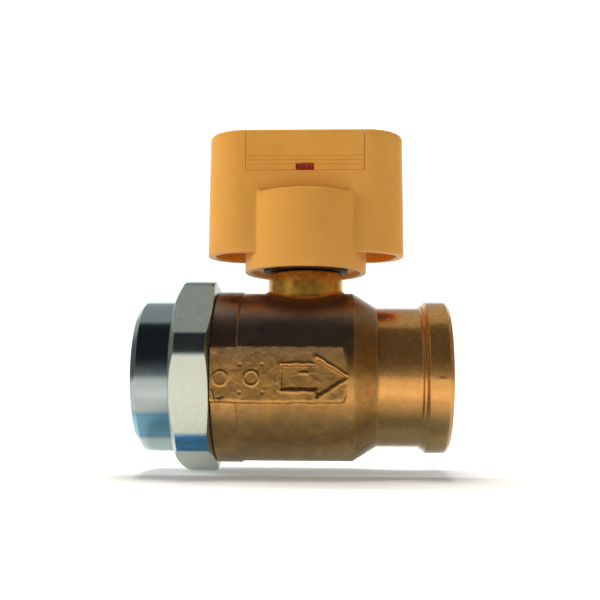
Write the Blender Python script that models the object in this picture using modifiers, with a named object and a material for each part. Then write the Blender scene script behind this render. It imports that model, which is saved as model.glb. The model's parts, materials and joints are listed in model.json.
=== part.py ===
"""Quarter-turn gas ball valve, DN 25, with a thermal shut-off in its steel inlet connector.

The pipe axis is +X, in the flow direction, and the stem stands along +Z. The origin is the centre of the
inlet connector's end face. Everything is in metres. A length called *_X is measured from the inlet face,
one called *_Z from the pipe axis, and one called *_S along the pipe from the stem axis.
"""

import math

import bmesh
import bpy
from mathutils import Matrix

MM = 0.001
QUARTER_TURN = math.pi / 2

# ---- driving dimensions ------------------------------------------------------------------------------

STEM_X = 43.0 * MM  # inlet face to stem axis
OUTLET_X = 80.3 * MM  # inlet face to outlet face
SOCKET_R = 19.9 * MM  # outside of the inlet tube and of the outlet bead
THREAD_R = 16.1 * MM  # mean radius of the Rp 1 pipe threads
MOUTH_CHAMFER = 0.9 * MM  # countersink at each thread's mouth

HEX_ACROSS_FLATS = 46.0 * MM
HEX_CORNER_R = 25.35 * MM  # the hexagon's corners are turned down to this radius
HEX_TURN = math.radians(12.7)  # how far the tightened hexagon stands off square
HEX_LEFT_S = -32.9 * MM
HEX_RIGHT_S = -22.6 * MM

COLLAR_R = 22.57 * MM
BARREL_R = 22.2 * MM
TUBE_R = 18.33 * MM
BODY_LEFT_S = -22.4 * MM
COLLAR_END_S = -16.1 * MM
CONE_START_S = 12.5 * MM
CONE_END_S = 18.7 * MM
PAD_FACE_Y = 22.5 * MM
PAD_HALF_HEIGHT = 6.7 * MM
PAD_END_S = 11.2 * MM
NECK_R = 10.0 * MM
NECK_TOP_Z = 27.4 * MM

BALL_R = 16.0 * MM
BALL_BORE_R = 11.0 * MM
THROAT_R = 11.3 * MM
CAVITY_R = 17.2 * MM
CAVITY_HALF_LENGTH = 13.2 * MM
SEAT_POCKET_R = 15.6 * MM
SEAT_POCKET_DEPTH = 2.5 * MM
SPIGOT_R = 18.9 * MM
SPIGOT_END_S = -13.2 * MM

STEM_R = 5.0 * MM
STEM_FLANGE_R = 7.5 * MM
STEM_FLANGE_BOTTOM_Z = 16.3 * MM
STEM_FLANGE_TOP_Z = 18.3 * MM
FLANGE_RECESS_TOP_Z = 19.3 * MM  # in the body, over the stem's flange and thrust washer
STEM_SHOULDER_Z = 27.6 * MM  # the square begins here
STEM_TOP_Z = 37.3 * MM
STEM_SQUARE = 7.0 * MM
STEM_SEALS_Z = (21.5 * MM, 24.5 * MM)
SLOT_FLOOR_Z = 12.7 * MM  # the stem's blade stands in a slot across the ball's top
SLOT_WIDTH = 5.2 * MM

STOP_DISC_R = 11.2 * MM
STOP_DISC_BOTTOM_Z = 27.9 * MM
STOP_DISC_TOP_Z = 29.9 * MM
STOP_LUG_R = 1.3 * MM
STOP_LUG_AT_R = 8.0 * MM
STOP_LUG_ANGLE = math.radians(45)

BOSS_R = 16.15 * MM  # round boss in the middle of the handle
BOSS_BOTTOM_Z = 27.6 * MM
BOSS_TOP_Z = 47.9 * MM
BOSS_BORE_R = 11.7 * MM
WING_BOTTOM_Z = 32.0 * MM
WING_REACH = 15.8 * MM  # stem axis to the centre of a wing's round end
WING_HALF_WIDTH = 10.4 * MM
HANDLE_TOP_Z = 64.4 * MM
HANDLE_TAPER = 0.965  # the wings' half width at the top over that at the bottom
WING_WALL = 2.0 * MM
HUB_R = 7.6 * MM
WEB_BOTTOM_Z = 37.6 * MM  # the web that the handle screw pulls down on the stem
WEB_TOP_Z = 41.0 * MM
TUNNEL_R = 4.4 * MM  # the screwdriver's way to the handle screw
COVER_HALF_LENGTH = 15.4 * MM
COVER_BOTTOM_Z = 53.5 * MM
COVER_SKIN = 1.0 * MM
LATCH_HALF_WIDTH = 2.4 * MM
LATCH_HEIGHT = 1.9 * MM

LAND_R = 15.15 * MM  # in the connector, holds the closing plug's guide
LAND_LEFT_S = -30.3 * MM
LAND_RIGHT_S = -27.6 * MM
CHAMBER_R = 15.9 * MM  # round the closing plug
PLUG_SEAT_S = -17.0 * MM  # small end of the plug's 45 degree seat
PLUG_SEAT_DEPTH = 3.0 * MM
PLUG_NOSE_S = -21.9 * MM
PLUG_NOSE_R = 11.0 * MM
PLUG_RIM_R = 13.6 * MM
PLUG_RIM_WIDTH = 0.8 * MM
ROD_R = 2.0 * MM
ROD_END_S = -35.5 * MM
HOLDER_HUB_R = 5.0 * MM
HOLDER_BORE_R = 3.1 * MM
HOLDER_LEFT_S = -33.0 * MM

SCREW_R = 2.4 * MM
RUNNING_GAP = 0.12 * MM  # round pieces that turn or slide in one another
FIT_GAP = 0.1 * MM  # between pieces that are put together and stay
PANEL_GAP = 0.25 * MM  # round the handle's cover

ROUND_STEPS = 40
SMALL_ROUND_STEPS = 24
RING_SECTION_STEPS = 8

# ---- places worked out from them ---------------------------------------------------------------------

PLUG_BACK_S = PLUG_NOSE_S - (PLUG_RIM_R - PLUG_NOSE_R) - PLUG_RIM_WIDTH
HOLDER_RIGHT_S = LAND_RIGHT_S - 2 * FIT_GAP
STEM_BORE_R = STEM_R + RUNNING_GAP
SQUARE_HOLE = STEM_SQUARE / 2 + RUNNING_GAP
ABOVE_HANDLE_Z = HANDLE_TOP_Z + 5 * MM

MATERIALS = {
    # name: (base colour, metallic, roughness)
    "cast_brass": ((0.42, 0.25, 0.09), 1.0, 0.42),
    "machined_brass": ((0.62, 0.43, 0.16), 1.0, 0.22),
    "zinc_steel": ((0.62, 0.68, 0.70), 1.0, 0.24),
    "chrome": ((0.75, 0.76, 0.78), 1.0, 0.08),
    "spring_steel": ((0.45, 0.45, 0.47), 1.0, 0.30),
    "fusible_alloy": ((0.55, 0.56, 0.57), 1.0, 0.55),
    "black_steel": ((0.03, 0.028, 0.03), 0.6, 0.45),
    "yellow_plastic": ((0.78, 0.42, 0.09), 0.0, 0.45),
    "red_plastic": ((0.45, 0.03, 0.01), 0.0, 0.35),
    "ptfe": ((0.85, 0.85, 0.82), 0.0, 0.5),
    "black_rubber": ((0.02, 0.02, 0.02), 0.0, 0.6),
}


# ---- helpers -----------------------------------------------------------------------------------------


def clear_scene():
    for obj in list(bpy.data.objects):
        bpy.data.objects.remove(obj)


def collection_named(name):
    made = bpy.data.collections.new(name)
    bpy.context.scene.collection.children.link(made)
    return made


def material_named(name):
    if name in bpy.data.materials:
        return bpy.data.materials[name]
    colour, metallic, roughness = MATERIALS[name]
    made = bpy.data.materials.new(name)
    made.use_nodes = True
    shader = made.node_tree.nodes["Principled BSDF"]
    shader.inputs["Base Color"].default_value = (*colour, 1.0)
    shader.inputs["Metallic"].default_value = metallic
    shader.inputs["Roughness"].default_value = roughness
    return made


def add_object(name, mesh, material=None):
    """A piece if it has a material, otherwise a helper that other pieces are cut or joined with."""
    obj = bpy.data.objects.new(name, mesh)
    if material is None:
        HELPERS.objects.link(obj)
        obj.hide_render = True
        obj.display_type = "WIRE"
    else:
        PIECES.objects.link(obj)
        obj.data.materials.append(material_named(material))
    return obj


def bmesh_object(name, fill, material=None):
    """An object whose mesh the function fill makes in an empty bmesh."""
    mesh = bpy.data.meshes.new(name)
    bm = bmesh.new()
    fill(bm)
    bm.to_mesh(mesh)
    bm.free()
    return add_object(name, mesh, material)


def signed_area(outline):
    pairs = zip(outline, outline[1:] + outline[:1])
    return sum(a[0] * b[1] - b[0] * a[1] for a, b in pairs) / 2


def turned(name, outline, material=None, along="X", at=(STEM_X, 0, 0), steps=ROUND_STEPS):
    """A turned piece. outline holds (radius, distance along the axis) points. It is a closed loop, or it
    starts and ends on the axis."""
    touches_axis = outline[0][0] == 0 and outline[-1][0] == 0
    if signed_area(outline) > 0:
        outline = outline[::-1]
    count = len(outline)
    edges = [(i, (i + 1) % count) for i in range(count - 1 if touches_axis else count)]
    mesh = bpy.data.meshes.new(name)
    mesh.from_pydata([(r, 0, h) for r, h in outline], edges, [])
    obj = add_object(name, mesh, material)
    screw = obj.modifiers.new("turn", "SCREW")
    screw.angle = 2 * math.pi
    screw.steps = screw.render_steps = steps
    screw.use_merge_vertices = True
    screw.merge_threshold = 0.00001
    screw.use_smooth_shade = True
    obj.location = at
    if along == "X":
        obj.rotation_euler = (0, QUARTER_TURN, 0)
    return obj


def turned_about_stem(name, outline, material, steps=SMALL_ROUND_STEPS):
    return turned(name, outline, material, "Z", (STEM_X, 0, 0), steps)


def rectangle_outline(inner_r, outer_r, low, high):
    return [(inner_r, low), (outer_r, low), (outer_r, high), (inner_r, high)]


def box(name, low, high, material=None):
    """A box between two opposite corners, given in either order."""
    obj = bmesh_object(name, lambda bm: bmesh.ops.create_cube(bm, size=1.0), material)
    size = [abs(b - a) for a, b in zip(low, high)]
    obj.data.transform(Matrix.Diagonal((*size, 1.0)))
    obj.location = [(a + b) / 2 for a, b in zip(low, high)]
    return obj


def cylinder(name, radius, low, high, along="Z", at=(STEM_X, 0), material=None, steps=SMALL_ROUND_STEPS):
    """A cylinder between two heights at (x, y), or along X between two distances from the stem axis."""
    obj = bmesh_object(
        name,
        lambda bm: bmesh.ops.create_cone(
            bm, cap_ends=True, segments=steps, radius1=radius, radius2=radius, depth=high - low
        ),
        material,
    )
    if along == "X":
        obj.rotation_euler = (0, QUARTER_TURN, 0)
        obj.location = (STEM_X + (low + high) / 2, 0, 0)
    else:
        obj.location = (*at, (low + high) / 2)
    return obj


def plate(name, outline, thickness, material=None):
    """A flat outline in XY given a thickness, centred on Z 0, and made a mesh so that it can be cut."""
    curve = bpy.data.curves.new(name, "CURVE")
    curve.dimensions = "2D"
    curve.fill_mode = "BOTH"
    curve.extrude = thickness / 2
    spline = curve.splines.new("POLY")
    spline.points.add(len(outline) - 1)
    for point, (x, y) in zip(spline.points, outline):
        point.co = (x, y, 0, 1)
    spline.use_cyclic_u = True
    flat = bpy.data.objects.new(name + "_outline", curve)
    HELPERS.objects.link(flat)
    bpy.context.view_layer.update()
    graph = bpy.context.evaluated_depsgraph_get()
    mesh = bpy.data.meshes.new_from_object(flat.evaluated_get(graph))
    bpy.data.objects.remove(flat)
    bm = bmesh.new()
    bm.from_mesh(mesh)
    bmesh.ops.remove_doubles(bm, verts=bm.verts, dist=0.00001)
    bmesh.ops.recalc_face_normals(bm, faces=bm.faces)
    bm.to_mesh(mesh)
    bm.free()
    return add_object(name, mesh, material)


def boolean(target, other, operation):
    step = target.modifiers.new(f"{operation.lower()} {other.name}", "BOOLEAN")
    step.operation = operation
    step.object = other
    step.solver = "EXACT"


def cut(target, *others):
    for other in others:
        boolean(target, other, "DIFFERENCE")


def join(target, *others):
    for other in others:
        boolean(target, other, "UNION")


def arc(centre, radius, start, end, count):
    """count + 1 points of an arc between two angles, in radians."""
    angles = [start + (end - start) * i / count for i in range(count + 1)]
    return [(centre[0] + radius * math.cos(a), centre[1] + radius * math.sin(a)) for a in angles]


def o_ring(name, major, minor, at, along="X"):
    """A rubber O-ring round the pipe axis or the stem axis."""
    last = 2 * math.pi * (1 - 1 / RING_SECTION_STEPS)
    outline = arc((major, 0), minor, 0, last, RING_SECTION_STEPS - 1)
    return turned(name, outline, "black_rubber", along, at, SMALL_ROUND_STEPS)


# ---- body --------------------------------------------------------------------------------------------


def make_valve_body():
    """Forged brass body: collar, barrel, cone, outlet socket with its bead, neck, two side pads."""
    outlet_s = OUTLET_X - STEM_X
    bead_start_s, bead_width = 29.6 * MM, 6.6 * MM
    bead_slope, bead_chamfer = 1.8 * MM, 1.1 * MM
    thread_end_s, throat_start_s = 20.8 * MM, 19.3 * MM
    spigot_hole_r = SPIGOT_R + PANEL_GAP
    groove_r, groove_s = SPIGOT_R + 2.1 * MM, BODY_LEFT_S + 2.0 * MM
    cavity_left_s = SPIGOT_END_S + 0.2 * MM
    pocket_end_s = CAVITY_HALF_LENGTH + SEAT_POCKET_DEPTH
    outside = [
        (COLLAR_R, BODY_LEFT_S),
        (COLLAR_R, COLLAR_END_S - 0.2 * MM),
        (BARREL_R, COLLAR_END_S),
        (BARREL_R, CONE_START_S),
        (TUBE_R, CONE_END_S),
        (TUBE_R, bead_start_s),
        (SOCKET_R, bead_start_s + bead_slope),
        (SOCKET_R, bead_start_s + bead_width),
        (SOCKET_R - bead_chamfer, outlet_s),
    ]
    inside = [
        (THREAD_R + MOUTH_CHAMFER, outlet_s),
        (THREAD_R, outlet_s - MOUTH_CHAMFER),
        (THREAD_R, thread_end_s),
        (THROAT_R, throat_start_s),
        (THROAT_R, pocket_end_s),
        (SEAT_POCKET_R, pocket_end_s),
        (SEAT_POCKET_R, CAVITY_HALF_LENGTH),
        (CAVITY_R, CAVITY_HALF_LENGTH),
        (CAVITY_R, cavity_left_s),
        (spigot_hole_r, cavity_left_s),
        (spigot_hole_r, groove_s),
        (groove_r, groove_s),
        (groove_r, BODY_LEFT_S),
    ]
    body = turned("valve_body", outside + inside, "cast_brass")
    neck_foot_z = 16.9 * MM
    neck = cylinder("neck_blank", NECK_R, neck_foot_z, NECK_TOP_Z, steps=ROUND_STEPS)
    join(body, neck, *[side_pad(side) for side in (-1, 1)], stop_lug())

    recess_r, above_z = STEM_FLANGE_R + 0.3 * MM, STOP_DISC_TOP_Z + 2 * MM
    cavity_z = CAVITY_R - 5 * MM
    recess = cylinder("flange_recess_cutter", recess_r, cavity_z, FLANGE_RECESS_TOP_Z, steps=ROUND_STEPS)
    bore = cylinder("stem_bore_cutter", STEM_BORE_R, cavity_z, above_z, steps=ROUND_STEPS)
    cut(body, recess, bore, *[flow_arrow_cutter(side) for side in (-1, 1)])
    return body


def side_pad(side):
    """The flat that stands proud on each side of the barrel, for a spanner and for the flow arrow."""
    foot_y = 21.05 * MM
    return box(
        f"side_pad_blank_{side}",
        (STEM_X + BODY_LEFT_S + 0.5 * MM, side * foot_y, -PAD_HALF_HEIGHT),
        (STEM_X + PAD_END_S, side * PAD_FACE_Y, PAD_HALF_HEIGHT),
    )


def flow_arrow_cutter(side):
    """Sunk arrow in the pad, pointing to the outlet."""
    tail, barb, tip = -5.6 * MM, 2.8 * MM, 10.5 * MM
    shaft_half, head_half = 2.8 * MM, 4.5 * MM
    depth, thickness = 0.45 * MM, 2.0 * MM
    lower_half = [(tail, -shaft_half), (barb, -shaft_half), (barb, -head_half)]
    upper_half = [(x, -z) for x, z in reversed(lower_half)]
    arrow = plate(f"flow_arrow_cutter_{side}", lower_half + [(tip, 0)] + upper_half, thickness)
    arrow.rotation_euler = (QUARTER_TURN, 0, 0)
    arrow.location = (STEM_X, side * (PAD_FACE_Y - depth + thickness / 2), 0)
    return arrow


def stop_lug():
    """Round lug on the neck's end that the stop disc's slot turns about."""
    at = (
        STEM_X + STOP_LUG_AT_R * math.cos(STOP_LUG_ANGLE),
        STOP_LUG_AT_R * math.sin(STOP_LUG_ANGLE),
    )
    return cylinder("stop_lug_blank", STOP_LUG_R, NECK_TOP_Z - MM, STOP_DISC_TOP_Z, at=at, steps=12)


# ---- inlet connector ---------------------------------------------------------------------------------


def hexagon_blank():
    """The connector's hexagon: a six-sided prism whose corners a turned blank rounds off."""
    corner_r = HEX_ACROSS_FLATS / math.sqrt(3)
    prism = bmesh_object(
        "hexagon_blank",
        lambda bm: bmesh.ops.create_cone(
            bm, cap_ends=True, segments=6, radius1=corner_r, radius2=corner_r, depth=HEX_RIGHT_S - HEX_LEFT_S
        ),
    )
    prism.rotation_mode = "ZYX"
    # A cone's first corner is on Y, so a twelfth of a turn brings a flat to -Y, and HEX_TURN tips it down.
    prism.rotation_euler = (HEX_TURN + math.pi / 6, QUARTER_TURN, 0)
    prism.location = (STEM_X + (HEX_LEFT_S + HEX_RIGHT_S) / 2, 0, 0)

    left_slope, right_slope = math.tan(math.radians(30)), math.tan(math.radians(14))
    left_face_r = HEX_ACROSS_FLATS / 2 - 0.5 * MM
    right_face_r = HEX_ACROSS_FLATS / 2 - 1.2 * MM
    rounder = turned(
        "hexagon_rounder",
        [
            (0, HEX_LEFT_S),
            (left_face_r, HEX_LEFT_S),
            (HEX_CORNER_R, HEX_LEFT_S + (HEX_CORNER_R - left_face_r) * left_slope),
            (HEX_CORNER_R, HEX_RIGHT_S - (HEX_CORNER_R - right_face_r) * right_slope),
            (right_face_r, HEX_RIGHT_S),
            (0, HEX_RIGHT_S),
        ],
    )
    boolean(prism, rounder, "INTERSECT")
    return prism


def make_inlet_connector():
    """Zinc-plated steel connector: threaded inlet, hexagon, spigot screwed into the body."""
    end_chamfer, spigot_chamfer = 1.45 * MM, 0.5 * MM
    core_r, overlap = 20.5 * MM, 1.0 * MM  # the turned core reaches this far into the hexagon
    seat_pocket_s = SPIGOT_END_S - SEAT_POCKET_DEPTH
    plug_seat_start_s = PLUG_SEAT_S - PLUG_SEAT_DEPTH
    groove_r, groove_left_s = THREAD_R + 0.7 * MM, LAND_LEFT_S - 1.3 * MM
    outside = [
        (SOCKET_R - end_chamfer, -STEM_X),
        (SOCKET_R, -STEM_X + end_chamfer),
        (SOCKET_R, HEX_LEFT_S + overlap),
        (core_r, HEX_LEFT_S + overlap),
        (core_r, HEX_RIGHT_S - overlap),
        (SPIGOT_R, HEX_RIGHT_S - overlap),
        (SPIGOT_R, SPIGOT_END_S - spigot_chamfer),
        (SPIGOT_R - spigot_chamfer, SPIGOT_END_S),
    ]
    inside = [
        (SEAT_POCKET_R, SPIGOT_END_S),
        (SEAT_POCKET_R, seat_pocket_s),
        (THROAT_R, seat_pocket_s),
        (THROAT_R, PLUG_SEAT_S),
        (THROAT_R + PLUG_SEAT_DEPTH, plug_seat_start_s),
        (CHAMBER_R, plug_seat_start_s),
        (CHAMBER_R, LAND_RIGHT_S),
        (LAND_R, LAND_RIGHT_S),
        (LAND_R, LAND_LEFT_S),
        (groove_r, LAND_LEFT_S),
        (groove_r, groove_left_s),
        (THREAD_R, groove_left_s),
        (THREAD_R, -STEM_X + MOUTH_CHAMFER),
        (THREAD_R + MOUTH_CHAMFER, -STEM_X),
    ]
    connector = turned("inlet_connector", outside + inside, "zinc_steel")
    prism = hexagon_blank()
    hole = cylinder(
        "hexagon_hole_cutter",
        SOCKET_R - 0.2 * MM,
        HEX_LEFT_S - MM,
        HEX_RIGHT_S + MM,
        "X",
        steps=ROUND_STEPS,
    )
    cut(prism, hole)
    join(connector, prism)
    return connector


# ---- ball, seats and body seal -----------------------------------------------------------------------


def make_ball():
    """Chromed ball, with its bore along the pipe when open and the stem's slot across its top."""
    ball = bmesh_object(
        "ball",
        lambda bm: bmesh.ops.create_uvsphere(bm, u_segments=36, v_segments=18, radius=BALL_R),
        "chrome",
    )
    ball.location = (STEM_X, 0, 0)
    beyond = BALL_R + 4 * MM
    bore = cylinder("ball_bore_cutter", BALL_BORE_R, -beyond, beyond, "X", steps=ROUND_STEPS)
    slot = box(
        "ball_slot_cutter",
        (STEM_X - SLOT_WIDTH / 2, -beyond, SLOT_FLOOR_Z),
        (STEM_X + SLOT_WIDTH / 2, beyond, beyond),
    )
    cut(ball, bore, slot)
    return ball


def make_seats():
    """A PTFE seat each side of the ball, and the rubber ring in its pocket that presses it on the ball."""
    contact_r, stand_off = 12.6 * MM, 0.24 * MM
    outer_r, lip_r = SEAT_POCKET_R - 2 * FIT_GAP, 13.4 * MM
    back_s, rim_s = -14.0 * MM, -8.8 * MM
    ring_minor, ring_r, ring_s = 0.65 * MM, 14.6 * MM, 14.85 * MM
    contact_s = -math.sqrt(BALL_R**2 - contact_r**2)
    slope = contact_r / abs(contact_s)

    def cone_at(radius):
        """The seat's cone, which stands off the ball's tangent at the contact circle."""
        return contact_s - stand_off + slope * (radius - contact_r)

    outline = [
        (THROAT_R, back_s),
        (outer_r, back_s),
        (outer_r, rim_s),
        (lip_r, cone_at(lip_r)),
        (THROAT_R, cone_at(THROAT_R)),
    ]
    for name, side in (("inlet", 1), ("outlet", -1)):
        turned(f"seat_ring_{name}", [(r, side * s) for r, s in outline], "ptfe")
        o_ring(f"seat_backing_ring_{name}", ring_r, ring_minor, (STEM_X - side * ring_s, 0, 0))


def make_body_seal():
    """The O-ring in the body's mouth that seals the connector's screwed joint."""
    minor = 0.75 * MM
    at = (STEM_X + BODY_LEFT_S + 1.1 * MM, 0, 0)
    return o_ring("body_seal_ring", SPIGOT_R + minor + 0.3 * MM, minor, at)


# ---- stem --------------------------------------------------------------------------------------------


def make_stem():
    """Brass stem, put in from inside the body: blade, blow-out flange, two seal grooves, square."""
    groove_r, half_groove = 3.35 * MM, 1.1 * MM
    blade_half_length, tapped_floor_z = 6.2 * MM, 28.6 * MM
    outline = [
        (0, STEM_FLANGE_BOTTOM_Z),
        (STEM_FLANGE_R, STEM_FLANGE_BOTTOM_Z),
        (STEM_FLANGE_R, STEM_FLANGE_TOP_Z),
        (STEM_R, STEM_FLANGE_TOP_Z),
    ]
    for z in STEM_SEALS_Z:
        outline += [
            (STEM_R, z - half_groove),
            (groove_r, z - half_groove),
            (groove_r, z + half_groove),
            (STEM_R, z + half_groove),
        ]
    outline += [(STEM_R, STEM_TOP_Z), (0, STEM_TOP_Z)]
    stem = turned_about_stem("stem", outline, "machined_brass", ROUND_STEPS)

    half_square, beyond = STEM_SQUARE / 2, 9 * MM
    waste = box(
        "square_waste_cutter",
        (STEM_X - beyond, -beyond, STEM_SHOULDER_Z),
        (STEM_X + beyond, beyond, STEM_TOP_Z + 2 * MM),
    )
    kept = box(
        "square_kept",
        (STEM_X - half_square, -half_square, STEM_SHOULDER_Z - MM),
        (STEM_X + half_square, half_square, STEM_TOP_Z + 3 * MM),
    )
    cut(waste, kept)
    tapped = cylinder("tapped_hole_cutter", SCREW_R + RUNNING_GAP, tapped_floor_z, STEM_TOP_Z + MM)
    half_blade = SLOT_WIDTH / 2 - 2 * FIT_GAP
    blade = box(
        "blade_blank",
        (STEM_X - half_blade, -blade_half_length, SLOT_FLOOR_Z + PANEL_GAP),
        (STEM_X + half_blade, blade_half_length, STEM_FLANGE_BOTTOM_Z + 0.5 * MM),
    )
    join(stem, blade)
    cut(stem, waste, tapped)
    return stem


def make_stem_seals():
    """Two O-rings in the stem's grooves, and the PTFE washer that the stem's flange bears on."""
    for name, z in zip(("lower", "upper"), STEM_SEALS_Z):
        o_ring(f"stem_seal_{name}", 4.22 * MM, 0.8 * MM, (STEM_X, 0, z), "Z")
    washer = rectangle_outline(
        STEM_R + PANEL_GAP,
        STEM_FLANGE_R,
        STEM_FLANGE_TOP_Z + RUNNING_GAP,
        FLANGE_RECESS_TOP_Z - RUNNING_GAP,
    )
    turned_about_stem("stem_thrust_washer", washer, "ptfe")


def make_stop_disc():
    """Black steel disc on the stem's square. The body's lug stands in its curved slot and stops it."""
    disc = cylinder(
        "stop_disc",
        STOP_DISC_R,
        STOP_DISC_BOTTOM_Z,
        STOP_DISC_TOP_Z,
        material="black_steel",
        steps=ROUND_STEPS,
    )
    margin = math.asin(STOP_LUG_R / STOP_LUG_AT_R) + math.radians(2)
    start, end = STOP_LUG_ANGLE - margin, STOP_LUG_ANGLE + QUARTER_TURN + margin
    half_slot, slot_steps = STOP_LUG_R + 2 * FIT_GAP, 14
    outline = arc((0, 0), STOP_LUG_AT_R + half_slot, start, end, slot_steps)
    outline += arc((0, 0), STOP_LUG_AT_R - half_slot, end, start, slot_steps)
    slot = plate("stop_slot_cutter", outline, 3 * (STOP_DISC_TOP_Z - STOP_DISC_BOTTOM_Z))
    slot.location = (STEM_X, 0, (STOP_DISC_BOTTOM_Z + STOP_DISC_TOP_Z) / 2)
    cut(disc, slot, square_hole_cutter("disc", STOP_DISC_BOTTOM_Z - MM, STOP_DISC_TOP_Z + MM))
    return disc


def square_hole_cutter(name, low_z, high_z):
    return box(
        f"{name}_square_cutter",
        (STEM_X - SQUARE_HOLE, -SQUARE_HOLE, low_z),
        (STEM_X + SQUARE_HOLE, SQUARE_HOLE, high_z),
    )


# ---- handle ------------------------------------------------------------------------------------------


def draft_at(z):
    """The handle's sides lean in: its half width at a height over that at the wings' bottom."""
    return 1 - (1 - HANDLE_TAPER) * (z - WING_BOTTOM_Z) / (HANDLE_TOP_Z - WING_BOTTOM_Z)


def drafted(name, outline, bottom, top, material=None):
    """An upright prism on an outline about the stem axis, drawn in towards its top like the handle."""
    obj = plate(name, outline, top - bottom, material)
    middle = (bottom + top) / 2
    for vertex in obj.data.vertices:
        scale = draft_at(vertex.co.z + middle)
        straight_part = max(-WING_REACH, min(WING_REACH, vertex.co.x))
        vertex.co.x = straight_part + (vertex.co.x - straight_part) * scale
        vertex.co.y *= scale
    obj.location = (STEM_X, 0, middle)
    return obj


def wing_outline(inset=0.0):
    """The straight-sided outline of both wings seen from above, its ends half round."""
    radius, steps = WING_HALF_WIDTH - inset, 12
    right = arc((WING_REACH, 0), radius, -QUARTER_TURN, QUARTER_TURN, steps)
    left = arc((-WING_REACH, 0), radius, QUARTER_TURN, 3 * QUARTER_TURN, steps)
    return right + left


def make_handle():
    """Yellow moulded toggle handle: hollow wings, round boss, central hub with its screw tunnel."""
    boss_wall, boss_floor_z, below_z = 1.5 * MM, 29.1 * MM, 20.0 * MM
    hub_bottom_z, screw_way_r = 30.4 * MM, SCREW_R + 0.4 * MM
    under_cover_z = HANDLE_TOP_Z - 2 * COVER_SKIN
    handle = drafted("handle", wing_outline(), WING_BOTTOM_Z, HANDLE_TOP_Z, "yellow_plastic")
    hollow = drafted(
        "wing_hollow_cutter",
        wing_outline(WING_WALL),
        WING_BOTTOM_Z - 5 * MM,
        HANDLE_TOP_Z - WING_WALL - COVER_SKIN,
    )
    boss = cylinder("boss_blank", BOSS_R, BOSS_BOTTOM_Z, BOSS_TOP_Z, steps=ROUND_STEPS)
    rim = cylinder("boss_rim_cutter", BOSS_R - boss_wall, below_z, boss_floor_z, steps=ROUND_STEPS)
    bore = cylinder("boss_bore_cutter", BOSS_BORE_R, below_z, BOSS_TOP_Z - WING_WALL, steps=ROUND_STEPS)
    hub = cylinder("hub_blank", HUB_R, hub_bottom_z, under_cover_z, steps=ROUND_STEPS)
    ribs = [
        box(
            f"rib_blank_{side}",
            (STEM_X + side * (HUB_R - 0.3 * MM), -0.8 * MM, BOSS_TOP_Z - MM),
            (STEM_X + side * (WING_REACH + WING_HALF_WIDTH - MM), 0.8 * MM, under_cover_z),
        )
        for side in (-1, 1)
    ]
    socket = square_hole_cutter("handle", hub_bottom_z - MM, WEB_BOTTOM_Z)
    screw_way = cylinder("screw_way_cutter", screw_way_r, WEB_BOTTOM_Z - MM, WEB_TOP_Z + MM)
    tunnel = cylinder("tunnel_cutter", TUNNEL_R, WEB_TOP_Z, ABOVE_HANDLE_Z)
    cut(handle, hollow)
    join(handle, boss)
    cut(handle, rim, bore)
    join(handle, hub, *ribs)
    cut(handle, socket, screw_way, tunnel, *cover_recess_cutters(), latch_pocket_cutter())
    return handle


def cover_side_y(inset):
    """A plane parallel to the cover's sides, this far inside them at mid-height."""
    return WING_HALF_WIDTH * draft_at((COVER_BOTTOM_Z + HANDLE_TOP_Z) / 2) - inset


def cover_recess_cutters():
    """The step in the handle's top and upper sides that the cover lies in."""
    reach, step = COVER_HALF_LENGTH + PANEL_GAP, COVER_SKIN + PANEL_GAP
    beyond_y = WING_HALF_WIDTH + 2 * MM
    top = box(
        "cover_recess_top_cutter",
        (STEM_X - reach, -beyond_y, HANDLE_TOP_Z - step),
        (STEM_X + reach, beyond_y, ABOVE_HANDLE_Z),
    )
    sides = [
        box(
            f"cover_recess_side_cutter_{side}",
            (STEM_X - reach, side * cover_side_y(step), COVER_BOTTOM_Z - PANEL_GAP),
            (STEM_X + reach, side * beyond_y, ABOVE_HANDLE_Z),
        )
        for side in (-1, 1)
    ]
    return [top, *sides]


def latch_pocket_cutter():
    """The window in the handle's front wall that the red latch sits in."""
    margin, depth = 2 * FIT_GAP, 4 * MM
    return box(
        "latch_pocket_cutter",
        (STEM_X - LATCH_HALF_WIDTH - margin, -WING_HALF_WIDTH - MM, COVER_BOTTOM_Z - FIT_GAP),
        (
            STEM_X + LATCH_HALF_WIDTH + margin,
            -WING_HALF_WIDTH + depth,
            COVER_BOTTOM_Z + LATCH_HEIGHT + margin,
        ),
    )


def make_handle_cover():
    """Saddle-shaped lid over the screw tunnel, flush with the handle, grooved for the fingers."""
    half_width = WING_HALF_WIDTH
    corners = ((-1, -1), (1, -1), (1, 1), (-1, 1))
    outline = [(x * COVER_HALF_LENGTH, y * half_width) for x, y in corners]
    cover = drafted("handle_cover", outline, COVER_BOTTOM_Z, HANDLE_TOP_Z, "yellow_plastic")
    inside = box(
        "cover_inside_cutter",
        (STEM_X - COVER_HALF_LENGTH - MM, -cover_side_y(COVER_SKIN), COVER_BOTTOM_Z - MM),
        (STEM_X + COVER_HALF_LENGTH + MM, cover_side_y(COVER_SKIN), HANDLE_TOP_Z - COVER_SKIN),
    )
    notch = box(
        "latch_notch_cutter",
        (STEM_X - LATCH_HALF_WIDTH, -half_width - MM, COVER_BOTTOM_Z - MM),
        (STEM_X + LATCH_HALF_WIDTH, 0, COVER_BOTTOM_Z + LATCH_HEIGHT),
    )
    spigot_length = 2.2 * MM
    spigot = cylinder(
        "tunnel_spigot_blank", TUNNEL_R - PANEL_GAP, HANDLE_TOP_Z - spigot_length, HANDLE_TOP_Z - 0.5 * MM
    )
    cut(cover, inside, notch, *finger_groove_cutters())
    join(cover, spigot)
    return cover


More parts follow.
